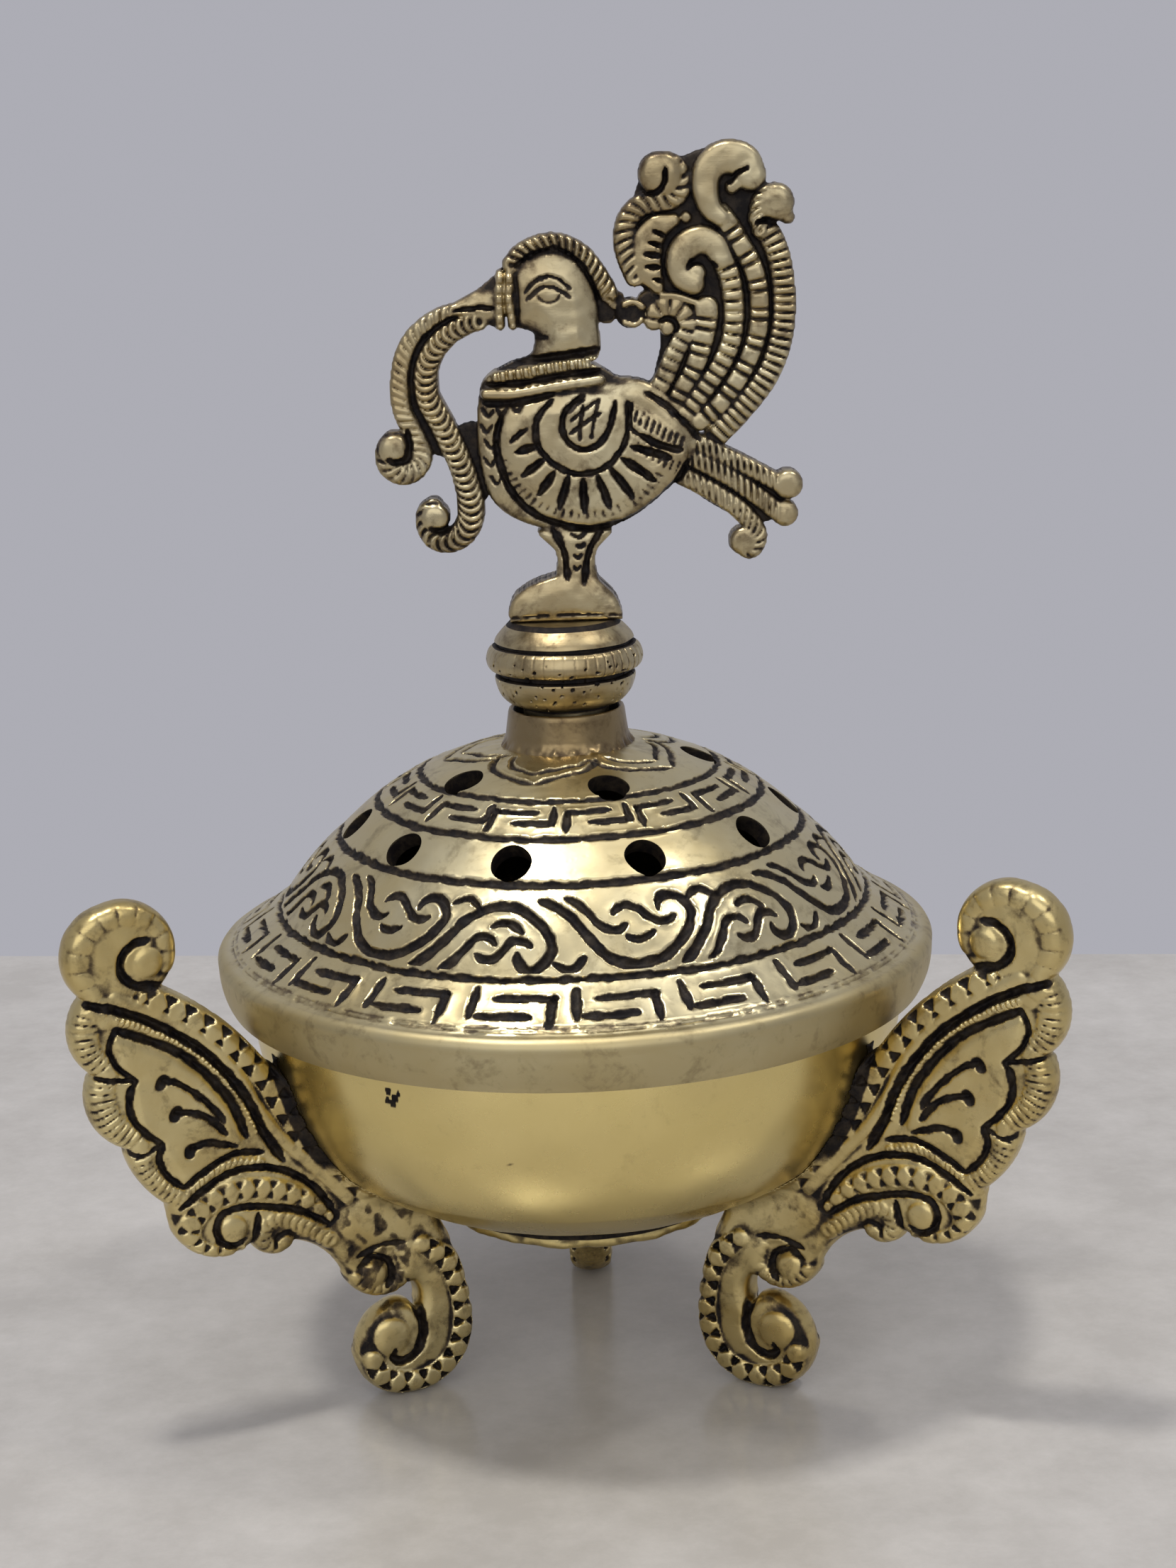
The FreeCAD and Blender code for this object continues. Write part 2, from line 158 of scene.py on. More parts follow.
class Relief:
    """A drawing on a plane: signed distance to an outline, and the height of the face."""

    def __init__(self, low, high, step):
        self.step = step
        self.low = np.array(low, float)
        count = np.ceil((np.array(high) - self.low) / step).astype(int) + 1
        axes = [lo + s * np.arange(n) for lo, s, n in zip(self.low, (step, step), count)]
        self.x, self.z = np.meshgrid(*axes, indexing="ij")
        self.edge = np.full(self.x.shape, FAR)
        self.top = np.zeros(self.x.shape)
        self.dark = np.zeros(self.x.shape)
        grain = blur(rng.standard_normal(self.x.shape), 0.28 / step)
        self.grain = grain / grain.std()

    def window(self, line, reach):
        """The part of the drawing within reach of a line."""
        low = np.floor((line.min(0) - reach - self.low) / self.step).astype(int)
        high = np.ceil((line.max(0) + reach - self.low) / self.step).astype(int) + 1
        i0, j0 = np.maximum(low, 0)
        i1, j1 = np.minimum(high, self.x.shape)
        return np.s_[i0:max(i1, i0 + 1), j0:max(j1, j0 + 1)]

    def follow(self, line, reach):
        """Near a line: window, distance, length along it, signed offset, whole length."""
        w = self.window(line, reach)
        px, pz = self.x[w], self.z[w]
        best = np.full(px.shape, 1e9)
        arc = np.zeros(px.shape)
        side = np.zeros(px.shape)
        run = 0.0
        for (ax, az), (bx, bz) in zip(line[:-1], line[1:]):
            dx, dz = bx - ax, bz - az
            length = math.hypot(dx, dz)
            if length < 1e-6:
                continue
            t = np.clip(((px - ax) * dx + (pz - az) * dz) / length ** 2, 0, 1)
            qx, qz = px - ax - t * dx, pz - az - t * dz
            d = qx * qx + qz * qz
            nearer = d < best
            best = np.where(nearer, d, best)
            arc = np.where(nearer, run + t * length, arc)
            side = np.where(nearer, np.sign(dx * qz - dz * qx), side)
            run += length
        d = np.sqrt(best)
        return w, d, arc, side * d, run

    def raise_to(self, w, rise, where):
        """Lift the face to at least rise; metal that stands up there is not stained."""
        higher = where & (rise > self.top[w])
        self.top[w] = np.where(higher, rise, self.top[w])
        self.dark[w] = np.where(higher, 0, self.dark[w])

    def area(self, points, height, smooth=True, rounding=1.2, outline=True, gain=0.75, stain=0.0):
        """A filled shape with softly rounded shoulders."""
        line = smooth_line(points, closed=True) if smooth else np.asarray(points, float)
        line = np.vstack([line, line[:1]])
        w, d, _, _, _ = self.follow(line, 3.0)
        px, pz = self.x[w], self.z[w]
        crossings = np.zeros(px.shape, int)
        for (ax, az), (bx, bz) in zip(line[:-1], line[1:]):
            if az != bz:
                between = (az > pz) != (bz > pz)
                crossings += between & (px < (bx - ax) * (pz - az) / (bz - az) + ax)
        signed = np.where(crossings % 2 == 1, -d, d)
        if outline:
            self.edge[w] = np.minimum(self.edge[w], signed)
        rise = height * (gain + (1 - gain) * np.sqrt(np.clip(-signed / rounding, 0, 1)))
        ground = (signed < 0) & (rise > self.top[w])
        self.raise_to(w, rise, signed < 0)
        self.dark[w] = np.where(ground, stain, self.dark[w])

    def rod(self, points, width, height, taper=(1, 1), pattern=None, outline=True, base=EDGE_HEIGHT,
            sharp=SQUARENESS):
        """A rounded bar along a smooth line; taper scales its width from start to end."""
        line = smooth_line(points)
        w, d, arc, offset, total = self.follow(line, width * max(taper) / 2 + 1.0)
        half = width / 2 * np.interp(arc / total, np.linspace(0, 1, len(taper)), taper)
        u = np.clip(d / half, 0, 1)
        rise = base + (height - base) * np.sqrt(1 - u ** sharp)
        if pattern is not None:
            rise = base + (rise - base) * pattern(arc, offset, half)
        self.raise_to(w, rise, d < half)
        if outline:
            self.edge[w] = np.minimum(self.edge[w], d - half)

    def ball(self, x, z, radius, height, outline=True):
        """A round boss."""
        w = self.window(np.array([[x, z]]), radius + 1)
        d = np.hypot(self.x[w] - x, self.z[w] - z)
        dome = np.sqrt(np.clip(1 - (d / radius) ** SQUARENESS, 0, 1))
        rise = EDGE_HEIGHT + (height - EDGE_HEIGHT) * dome
        self.raise_to(w, rise, d < radius)
        if outline:
            self.edge[w] = np.minimum(self.edge[w], d - radius)

    def cut(self, points, width, depth, ends=0.35, smooth=True, stain=1.0, ragged=0.06, burr=0.0):
        """A groove along a line, fading at both ends; it is filled with dark patina."""
        line = smooth_line(points) if smooth else np.asarray(points, float)
        w, d, arc, _, total = self.follow(line, width / 2 + 0.6)
        first, last = ends if isinstance(ends, tuple) else (ends, ends)
        near_end = np.where(arc < total / 2, first, last)
        fade = np.clip(np.minimum(arc, total - arc) / (1.2 * width), 0, 1)
        fade = near_end + (1 - near_end) * np.sqrt(fade)
        half = width / 2 * fade
        away = np.maximum(d + ragged * self.grain[w], 0)
        u = np.clip(1 - (away / half) ** 2, 0, 1)
        self.top[w] -= depth * fade * u ** 0.8 * (1 + 0.22 * self.grain[w] * (ragged > 0))
        self.top[w] += burr * np.exp(-((away - half - 0.1) / 0.12) ** 2)
        self.dark[w] = np.maximum(self.dark[w], stain * np.clip(u * 2.2, 0, 1))

    def hammer(self, size, amount):
        """Unevenness left by casting and hand chasing."""
        dents = blur(rng.standard_normal(self.x.shape), size / self.step)
        self.top += amount * dents / dents.std()

    def fill_web(self, height):
        """Least half thickness wherever there is metal."""
        self.top = np.where(self.edge < 0, np.maximum(self.top, height), self.top)

    def sample(self, field, x, z):
        """Values of a field of the drawing at any places."""
        u = np.clip((x - self.low[0]) / self.step, 0, field.shape[0] - 1.001)
        v = np.clip((z - self.low[1]) / self.step, 0, field.shape[1] - 1.001)
        i, j = u.astype(int), v.astype(int)
        a, b = u - i, v - j
        return (field[i, j] * (1 - a) * (1 - b) + field[i + 1, j] * a * (1 - b)
                + field[i, j + 1] * (1 - a) * b + field[i + 1, j + 1] * a * b)

    def below(self, reach):
        """How far each place lies below its surroundings, mm."""
        inside = (self.edge < 0).astype(float)
        size = reach / self.step
        return blur(self.top * inside, size) / (blur(inside, size) + 1e-6) - self.top

    def hollows(self, reach=0.9, scale=0.32, smoky=0.0):
        """Patina, 0 to 1: in the hollows and the stained grooves, and thin and smoky around them."""
        wide = smoky * np.clip(self.below(2.4) / 0.7 + 0.25, 0, 1)
        away_from_rim = np.clip(-self.edge / 0.8, 0.1, 1)
        local = self.below(reach) / scale * away_from_rim
        return np.clip(np.maximum(np.maximum(local, self.dark), wide), 0, 1)


# ---------------------------------------------------------------- meshes
def surface_net(field, low, step):
    """Smooth quad mesh of the zero surface of a sampled field, negative inside."""
    inside = field < 0
    some = np.zeros(np.array(field.shape) - 1, bool)
    every = np.ones(some.shape, bool)
    corners = [(i, j, k) for i in (0, 1) for j in (0, 1) for k in (0, 1)]
    nx, ny, nz = some.shape
    for i, j, k in corners:
        part = inside[i:i + nx, j:j + ny, k:k + nz]
        some |= part
        every &= part
    cells = np.argwhere(some & ~every)
    number = np.full(some.shape, -1, np.int32)
    number[tuple(cells.T)] = np.arange(len(cells))
    total = np.zeros((len(cells), 3))
    hits = np.zeros(len(cells))
    for a in corners:
        for axis in range(3):
            if a[axis]:
                continue
            b = list(a)
            b[axis] = 1
            fa = field[tuple((cells + a).T)]
            fb = field[tuple((cells + b).T)]
            crossing = (fa < 0) != (fb < 0)
            t = np.where(crossing, fa / np.where(crossing, fa - fb, 1), 0)
            place = np.tile(np.array(a, float), (len(cells), 1))
            place[:, axis] = t
            total += place * crossing[:, None]
            hits += crossing
    verts = (cells + total / hits[:, None]) * step + low
    faces = []
    for axis in range(3):
        u, v = [k for k in range(3) if k != axis]
        a = [slice(1, -1)] * 3
        b = [slice(1, -1)] * 3
        a[axis] = slice(0, -1)
        b[axis] = slice(1, None)
        first, second = inside[tuple(a)], inside[tuple(b)]
        change = np.argwhere(first != second)
        forward = first[tuple(change.T)]
        base = change + 1
        base[:, axis] = change[:, axis]
        quad = []
        for du, dv in ((-1, -1), (0, -1), (0, 0), (-1, 0)):
            c = base.copy()
            c[:, u] += du
            c[:, v] += dv
            quad.append(number[tuple(c.T)])
        quad = np.stack(quad, -1)
        flip = forward if axis != 1 else ~forward
        faces.append(np.where(flip[:, None], quad, quad[:, ::-1]))
    return verts, np.vstack(faces)


def new_mesh(name, verts, faces, body, material, stands_for=(), masks=None):
    """A mesh object from millimetre points and arrays of quads or triangles, riding on a body."""
    groups = faces if isinstance(faces, list) else [faces]
    loops = np.concatenate([g.ravel() for g in groups]).astype(np.int32)
    sides = np.concatenate([np.full(len(g), g.shape[1]) for g in groups])
    starts = np.concatenate([[0], np.cumsum(sides)[:-1]]).astype(np.int32)
    mesh = bpy.data.meshes.new(name)
    mesh.vertices.add(len(verts))
    mesh.vertices.foreach_set("co", (np.asarray(verts, float) * MM).astype(np.float32).ravel())
    mesh.loops.add(len(loops))
    mesh.loops.foreach_set("vertex_index", loops)
    mesh.polygons.add(len(sides))
    mesh.polygons.foreach_set("loop_start", starts)
    mesh.update(calc_edges=True)
    mesh.validate()
    mesh.polygons.foreach_set("use_smooth", np.ones(len(mesh.polygons), bool))
    mesh.materials.append(material)
    obj = bpy.data.objects.new(name, mesh)
    bpy.context.scene.collection.objects.link(obj)
    set_masks(obj, masks or {})
    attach(obj, body)
    if stands_for:
        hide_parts(*stands_for)
    return obj


def set_masks(obj, masks):
    """Store values per vertex for the materials."""
    for key, values in masks.items():
        layer = obj.data.attributes.get(key) or obj.data.attributes.new(key, "FLOAT", "POINT")
        layer.data.foreach_set("value", np.asarray(values, np.float32))


def mesh_points(obj):
    """Vertex positions in millimetres."""
    flat = np.empty(len(obj.data.vertices) * 3, np.float32)
    obj.data.vertices.foreach_get("co", flat)
    return flat.reshape(-1, 3).astype(float) / MM


def apply_modifiers(obj):
    """Replace an object's mesh by its modified one."""
    graph = bpy.context.evaluated_depsgraph_get()
    mesh = bpy.data.meshes.new_from_object(obj.evaluated_get(graph))
    obj.modifiers.clear()
    old = obj.data
    obj.data = mesh
    bpy.data.meshes.remove(old)


def thin_out(obj, triangles):
    """Fewer triangles, taken from the plain areas first."""
    now = sum(len(p.vertices) - 2 for p in obj.data.polygons)
    if now > triangles:
        change = obj.modifiers.new("fewer", "DECIMATE")
        change.ratio = triangles / now
        apply_modifiers(obj)


def drill(obj, holes, sides=44):
    """Bore holes given as (centre, axis, radius, half length, unevenness)."""
    bm = bmesh.new()
    for centre, axis, radius, reach, uneven in holes:
        turn = Vector(axis).to_track_quat("Z", "Y")
        phases = rng.uniform(0, 2 * math.pi, 4)
        rings = []
        for height in np.linspace(-reach, reach, 41):
            ring = []
            for k in range(sides):
                t = 2 * math.pi * k / sides
                wobble = sum(math.sin(n * t + p) / n for n, p in enumerate(phases, 2))
                rim = radius * (1 + uneven * wobble)
                at = Vector(centre) + turn @ Vector((rim * math.cos(t), rim * math.sin(t), height))
                ring.append(bm.verts.new(at * MM))
            rings.append(ring)
        bm.faces.new(rings[0][::-1])
        bm.faces.new(rings[-1])
        for low, high in zip(rings, rings[1:]):
            for k in range(sides):
                j = (k + 1) % sides
                bm.faces.new((low[k], low[j], high[j], high[k]))
    mesh = bpy.data.meshes.new("bores")
    bm.to_mesh(mesh)
    bm.free()
    cutter = bpy.data.objects.new("bores", mesh)
    bpy.context.scene.collection.objects.link(cutter)
    change = obj.modifiers.new("bore", "BOOLEAN")
    change.operation = "DIFFERENCE"
    change.solver = "MANIFOLD"
    change.object = cutter
    apply_modifiers(obj)
    bpy.data.objects.remove(cutter)
    bpy.data.meshes.remove(mesh)


def turned(section, angles, push=None):
    """Verts and faces of a turned piece. The section lists (radius, height) with the metal on its
    left; it is closed, or starts and ends on the axis. push moves points out along its normals."""
    closed = section[0, 0] > 0
    ahead, behind = np.roll(section, -1, 0), np.roll(section, 1, 0)
    if not closed:
        ahead[-1] = section[-1]
        behind[0] = section[0]
    along = ahead - behind
    normal = np.stack([along[:, 1], -along[:, 0]], -1)
    normal /= np.linalg.norm(normal, axis=1, keepdims=True)
    push = np.zeros((len(section), len(angles))) if push is None else push
    radius = section[:, :1] + push * normal[:, :1]
    height = section[:, 1:] + push * normal[:, 1:]
    t = np.radians(angles)
    verts = np.stack([radius * np.cos(t), radius * np.sin(t), height], -1).reshape(-1, 3)
    index = np.arange(len(verts)).reshape(radius.shape)
    right = np.roll(index, -1, 1)
    quads = np.stack([index, right, np.roll(right, -1, 0), np.roll(index, -1, 0)], -1)
    if closed:
        return verts, [quads.reshape(-1, 4)]
    index[0], right[0] = index[0, 0], index[0, 0]
    first = np.stack([index[0], right[1], index[1]], -1)
    last = np.stack([index[-2], right[-2], np.full(len(angles), index[-1, 0])], -1)
    return verts, [quads[1:-2].reshape(-1, 4), first, last]


def round_grid(section, count):
    """Azimuths round the axis, then the azimuth and the height of every point of a turned piece."""
    angles = np.linspace(SEAM, SEAM + 360, count, endpoint=False)
    return (angles, *np.meshgrid(angles, section[:, 1]))


def new_turning(name, section, angles, push, shade, body, material, node, crease=50):
    """A turned piece in place of a designed one; shade is its patina."""
    verts, faces = turned(section, angles, push)
    obj = new_mesh(name, verts, faces, body, material, (node,), {"hollow": shade.ravel()})
    obj.data.set_sharp_from_angle(angle=math.radians(crease))


def resample(points, spacing):
    """Points along a polyline at about the given spacing, keeping its corners."""
    out = []
    for a, b in zip(points[:-1], points[1:]):
        count = max(1, int(math.ceil(np.hypot(*(np.array(b) - a)) / spacing)))
        out += [np.array(a) + (np.array(b) - a) * k / count for k in range(count)]
    return np.array(out + [np.array(points[-1], float)])


def waviness(angle, along, size, seed):
    """Slow unevenness of hand-finished turning, seamless round the axis."""
    dice = np.random.default_rng(seed)
    total = 0.0
    for _ in range(14):
        lobes, pace, phase = dice.integers(3, 34), dice.uniform(-0.9, 0.9), dice.uniform(0, 6.28)
        total = total + np.sin(np.radians(angle) * lobes + along * pace + phase)
    return size * total / 14 ** 0.5


def smooth_max(a, b, k):
    """The larger of two fields, rounded over k where they meet."""
    return np.maximum(a, b) + np.maximum(k - np.abs(a - b), 0) ** 2 / (4 * k)


def casting(relief, thick, rounding=0.7, carve=None):
    """Two-sided flat casting of a relief in the XZ plane; y runs through its thickness."""
    step = relief.step
    half = np.arange(0, int(math.ceil((thick / 2 + 1.0) / step)) + 1)
    y = np.concatenate([-half[:0:-1], half]) * step
    field = smooth_max(relief.edge[:, None, :], np.abs(y)[None, :, None] - relief.top[:, None, :], rounding)
    if carve is not None:
        field = carve(field, relief.x[:, None, :], y[None, :, None], relief.z[:, None, :])
    low = np.array([relief.low[0], y[0], relief.low[1]])
    return surface_net(field, low, step)


def vertex_normals(verts, faces):
    diagonal_a = verts[faces[:, 2]] - verts[faces[:, 0]]
    diagonal_b = verts[faces[:, 3]] - verts[faces[:, 1]]
    normal = np.cross(diagonal_a, diagonal_b)
    total = np.zeros_like(verts)
    for k in range(4):
        np.add.at(total, faces[:, k], normal)
    return total / np.maximum(np.linalg.norm(total, axis=1, keepdims=True), 1e-12)


def side_wall(verts, faces):
    """0 on the two faces of a flat casting, up to 1 on its side walls."""
    wall = 1 - np.abs(vertex_normals(verts, faces)[:, 1])
    return np.clip((wall - 0.75) / 0.25, 0, 1)


def relax(verts, faces, rounds=2, amount=0.35):
    """A little smoothing that takes the voxel steps away."""
    count = np.zeros(len(verts))
    for k in range(4):
        np.add.at(count, faces[:, k], 2)
    for _ in range(rounds):
        total = np.zeros_like(verts)
        for k in range(4):
            np.add.at(total, faces[:, k], verts[faces[:, (k + 1) % 4]] + verts[faces[:, k - 1]])
        verts = verts + amount * (total / count[:, None] - verts)
    return verts


# ---------------------------------------------------------------- brass
class Shader:
    """Short ways to add and join the nodes of one material."""

    def __init__(self, name):
        self.mat = bpy.data.materials.new(name)
        self.mat.use_nodes = True
        self.nodes = self.mat.node_tree.nodes
        self.out = self.nodes["Principled BSDF"]
        self.place = self.nodes.new("ShaderNodeTexCoord").outputs["Object"]

    def join(self, source, node, socket):
        """Feed a socket from another node's output, a number or a colour."""
        if isinstance(source, tuple):
            node.inputs[socket].default_value = (*source, 1.0)
        elif isinstance(source, (int, float)):
            node.inputs[socket].default_value = source
        else:
            self.mat.node_tree.links.new(source, node.inputs[socket])

    def node(self, kind, **sockets):
        made = self.nodes.new("ShaderNode" + kind)
        for key, value in sockets.items():
            self.join(value, made, key.replace("_", " "))
        return made

    def attribute(self, name):
        made = self.node("Attribute")
        made.attribute_name = name
        return made.outputs["Fac"]

    def noise(self, scale, detail, rough, distortion=0.0, at=None):
        at = self.place if at is None else at
        made = self.node("TexNoise", Vector=at, Scale=scale, Detail=detail, Roughness=rough,
                         Distortion=distortion)
        return made.outputs["Fac"]

    def ramp(self, source, low, high, first=0.0, last=1.0):
        made = self.node("MapRange", Value=source, From_Min=low, From_Max=high, To_Min=first, To_Max=last)
        return made.outputs["Result"]

    def math(self, kind, a, b):
        made = self.node("Math")
        made.operation = kind
        made.use_clamp = kind in ("MAXIMUM", "MULTIPLY")
        self.join(a, made, 0)
        self.join(b, made, 1)
        return made.outputs[0]

    def mix(self, factor, a, b):
        made = self.node("Mix")
        made.data_type = "RGBA"
        for socket, value in ((0, factor), (6, a), (7, b)):
            self.join(value, made, socket)
        return made.outputs[2]


# near black, for the patina in the hollows and for the painted shade that the same masks carry
PATINA_AND_SHADE = (0.008, 0.006, 0.006)
TARNISH = (0.105, 0.066, 0.036)         # the thin brown film round the patina


def brass(name, metal, deep, rough=(0.2, 0.36), bump=0.25, tint=0.35, spread=1.0):
    """Procedural brass: tinted metal with cloudy tarnish, black patina and some painted shade where
    the mesh's "hollow" value is high, a duller face with painted shade where "satin_and_shade" is,
    fine scratches and casting grain."""
    s = Shader(name)
    cloud = s.noise(55.0, 5.0, 0.6, 0.4)
    grit = s.noise(900.0, 3.0, 0.6)
    blotch = s.noise(210.0, 5.0, 0.65, 0.6)
    ragged = s.math("ADD", s.attribute("hollow"), s.ramp(grit, 0.3, 0.7, -0.10 * spread, 0.10 * spread))
    ragged = s.math("ADD", ragged, s.ramp(blotch, 0.35, 0.65, -0.13 * spread, 0.13 * spread))
    worn = s.ramp(s.noise(520.0, 4.0, 0.7, 0.3), 0.42, 0.64, 1.0, 0.86)
    dark = s.math("MULTIPLY", s.ramp(ragged, 0.14, 0.50), worn)
    film = s.math("MULTIPLY", s.ramp(ragged, 0.03, 0.34), 0.85)

    satin_and_shade = s.attribute("satin_and_shade")
    base = s.mix(s.ramp(cloud, 0.35, 0.68), metal, deep)
    # painted shade: the brushed band's colour is darkened; its extra roughness below is real
    base = s.mix(s.math("MULTIPLY", satin_and_shade, 0.55), base, tuple(0.62 * c for c in deep))
    base = s.mix(s.math("MULTIPLY", s.ramp(blotch, 0.50, 0.72), tint), base, tuple(0.55 * c for c in deep))
    s.join(s.mix(dark, s.mix(film, base, TARNISH), PATINA_AND_SHADE), s.out, "Base Color")
    s.join(s.ramp(dark, 0.0, 0.7, 1.0, 0.1), s.out, "Metallic")

    smear = s.ramp(s.noise(140.0, 4.0, 0.6), 0.3, 0.7, *rough)
    smear = s.math("ADD", smear, s.math("MULTIPLY", satin_and_shade, 0.16))
    s.join(s.math("MAXIMUM", smear, s.ramp(dark, 0.0, 1.0, 0.0, 0.62)), s.out, "Roughness")

    stretch = s.node("Mapping", Vector=s.place)
    stretch.inputs["Scale"].default_value = (1.0, 1.0, 9.0)
    scratch = s.noise(420.0, 3.0, 0.7, at=stretch.outputs["Vector"])
    height = s.math("ADD", s.math("MULTIPLY", grit, 0.5), s.math("MULTIPLY", scratch, 0.35))
    pits = s.node("TexVoronoi", Vector=s.place, Scale=650.0)
    height = s.math("ADD", height, s.ramp(pits.outputs["Distance"], 0.0, 0.25, -0.4, 0.0))
    rise = s.node("Bump", Strength=bump, Distance=0.00006, Height=height)
    s.join(rise.outputs["Normal"], s.out, "Normal")
    s.out.inputs["Specular IOR Level"].default_value = 0.18
    return s.mat


FINIAL_BRASS = brass("finial_brass", (0.56, 0.49, 0.31), (0.35, 0.265, 0.135), (0.27, 0.44), bump=0.6,
                     tint=0.6)
# the collar's brass is a darker copy of the lid's: painted shade under the knob's cup
SHADED_COLLAR_BRASS = brass("collar_brass", (0.31, 0.24, 0.135), (0.25, 0.18, 0.085), (0.26, 0.38))
LID_BRASS = brass("lid_brass", (0.69, 0.61, 0.38), (0.60, 0.49, 0.25), (0.26, 0.36), bump=0.16, spread=0.7)
BOWL_BRASS = brass("bowl_brass", (0.78, 0.64, 0.285), (0.73, 0.595, 0.25), (0.25, 0.31), bump=0.06, tint=0.05,
                   spread=0.3)
LEG_BRASS = brass("leg_brass", (0.68, 0.57, 0.29), (0.52, 0.39, 0.15), (0.24, 0.40), bump=0.65)
FASTENER_BRASS = brass("fastener_brass", (0.55, 0.42, 0.16), (0.45, 0.32, 0.10), (0.3, 0.45))


# ---------------------------------------------------------------- peacock
def peacock_relief():
    """The bird, drawn facing -X in the XZ plane; heights are half thicknesses."""
    r = Relief((BIRD_LOW[0] - 1.5, BIRD_LOW[2] - 1.2), (BIRD_HIGH[0] + 1.5, BIRD_HIGH[2] + 1.5), DETAIL)
    scales = beads(1.05, depth=0.75, bow=0.42, power=2.6)
    ticks = beads(1, depth=0.65, slant=0.7, power=2.8)
    knots = beads(1.4, depth=0.75, power=3.2)
    # dark ground of the tail, between the feathers
    r.area([(13, 132), (17.6, 128), (22.6, 129), (27.2, 134.4), (29.4, 141), (29.5, 148), (28.6, 152.6),
        (29.6, 155.6), (27.8, 158.8), (25.6, 161.8), (22.6, 163), (19.6, 163), (17.2, 162.2), (14.8, 162.2),
        (12.4, 160.6), (10.8, 157), (10, 153.4), (9.8, 149.4), (11.2, 146.6), (13, 144.2), (13.6, 142),
        (13.8, 138.6), (12.8, 134.4)], 1.15, rounding=0.8, stain=1)
    r.area([(17, 126.4), (28.4, 120.4), (29, 116.4), (24.6, 115.4), (16.6, 120.6)], 1.15, rounding=0.6,
        stain=1)
    # tail feathers, from the inner edge outwards, then the crescents on the left
    feathers = (
        ([(12.4, 131.9), (13.8, 133.8), (14.6, 135.3), (15.3, 136.9), (16.2, 138.6), (17.1, 140.3),
          (17.2, 141.8), (16.2, 143), (14.8, 143.5), (13.4, 142.9), (13, 141.7)], 2.3, 2.3, (1, 1), knots),
        ([(15.2, 130.6), (16.5, 133.1), (17.7, 134.9), (18.6, 137), (19.3, 139.6), (19.8, 142),
          (19.8, 143.1)], 2.6, 2.4, (0.75, 0.85, 1, 1.1), rings(3.3)),
        ([(16.4, 129.2), (18.3, 131.5), (20, 133.7), (21.3, 135.6), (22.4, 137.6), (23.1, 139.8),
          (23.3, 142.5), (23.2, 145), (22.7, 147.6), (21.7, 149.9)], 2.6, 2.5, (0.85, 1), knots),
        ([(21.9, 149.4), (21, 151), (19.5, 151.7), (17.9, 151.3), (16.7, 150.1), (16.4, 148.5), (16.9, 147.1),
          (18.2, 146.3)], 3, 2.7, (0.9, 1.1, 1.1, 1, 0.9), None),
        ([(18.6, 128.6), (21.5, 131.2), (24.2, 134.9), (25.7, 138), (26.5, 141), (26.6, 144.4), (26.2, 147),
          (25.4, 149.1), (24.3, 151), (23.2, 153), (21.9, 154.9)], 2.45, 2.5, (0.9, 1), rings(3.6)),
        ([(21.9, 154.4), (20.7, 155.6), (20.1, 157.3), (20, 159), (20.5, 160.5), (21.7, 161.6), (23.4, 161.9),
          (25, 161.2), (25.8, 159.6)], 3.7, 2.8, (0.6, 0.75, 0.85, 0.95, 1.05, 1.1, 1), None),
        ([(20.6, 126.6), (24.2, 130.2), (27, 133.6), (28.7, 137), (29.6, 140.6), (29.8, 144.2), (29.5, 147.8),
          (28.8, 150.6), (27.7, 152.8), (26.9, 154.2)], 2.8, 2.5, (1, 1), beads(1.1, 0.75, power=2.8)),
        ([(10.8, 147.4), (9.8, 150), (9.5, 152.4), (10.1, 154.6), (11.7, 156.2), (13.7, 156.7), (15.6, 157),
          (16.8, 158.2), (16.8, 159.9), (16, 161.2)], 2.5, 2.4, (1, 1),
         beads(1.2, 0.7, slant=0.4, power=2.8)),
        ([(15.9, 154.3), (13.9, 153.5), (12.6, 151.9), (12.3, 149.9), (12.6, 148), (13.6, 146)],
         3.6, 2.4, (0.4, 0.8, 1, 1, 0.9, 0.45), None),
        ([(18, 126.2), (24.4, 122.8), (29.2, 120)], 2.1, 2.5, (1, 1), ticks),
        ([(17.4, 124.2), (22.5, 121.2), (26.6, 118.2), (29.4, 115.8)], 2.2, 2.4, (1, 1), ticks),
        ([(16, 121.8), (20.3, 119.4), (23.5, 117), (25.8, 113.9), (24.9, 111.8), (23.3, 112.6)], 2.3, 2.3,
         (1, 1), ticks),
    )
    for line, width, height, taper, pattern in feathers:
        r.rod(line, 1.13 * width, height, taper=taper, pattern=pattern)
    for x, z, radius, height in ((14.7, 140.8, 1, 2.2), (18.5, 147.6, 1.35, 2.5), (14.4, 160.1, 2.9, 3),
                                 (15.3, 161.6, 1.3, 2.4), (30.4, 154.2, 1, 2.4),
                                 (17.5, 154.6, 0.7, 1.9), (12.4, 144.3, 1.4, 1.8), (8.3, 144.5, 1.2, 1.8),
                                 (29.9, 120.2, 2, 2.5), (29.4, 116.4, 1.8, 2.3), (23.9, 113, 1.9, 2.4),
                                 (28.9, 156.1, 2.5, 3)):
        r.ball(x, z, radius, height)
    link = [(10.1 + 2 * math.cos(t), 142.8 + 2 * math.sin(t)) for t in np.arange(0, 6.2, 0.8)]
    r.area(link, 2.3, stain=0.9)
    r.rod([(9.3, 144), (10.6, 144.3), (11.6, 143.6)], 0.9, 2.7, base=2, outline=False)
    r.rod([(9.3, 141.7), (10.6, 141.3), (11.5, 141.9)], 0.8, 2.6, base=2, outline=False)
    r.rod([(14.2, 144.9), (16.2, 144.7), (18.4, 143.9)], 1, 2.2, outline=False)
    r.rod([(25.3, 160), (24.4, 159), (23.4, 158.1)], 1.7, 2.5, outline=False)
    r.rod([(26.8, 152.6), (26.5, 154.4), (26.8, 156.2), (27.8, 157.6)], 2, 2.8, pattern=ticks)
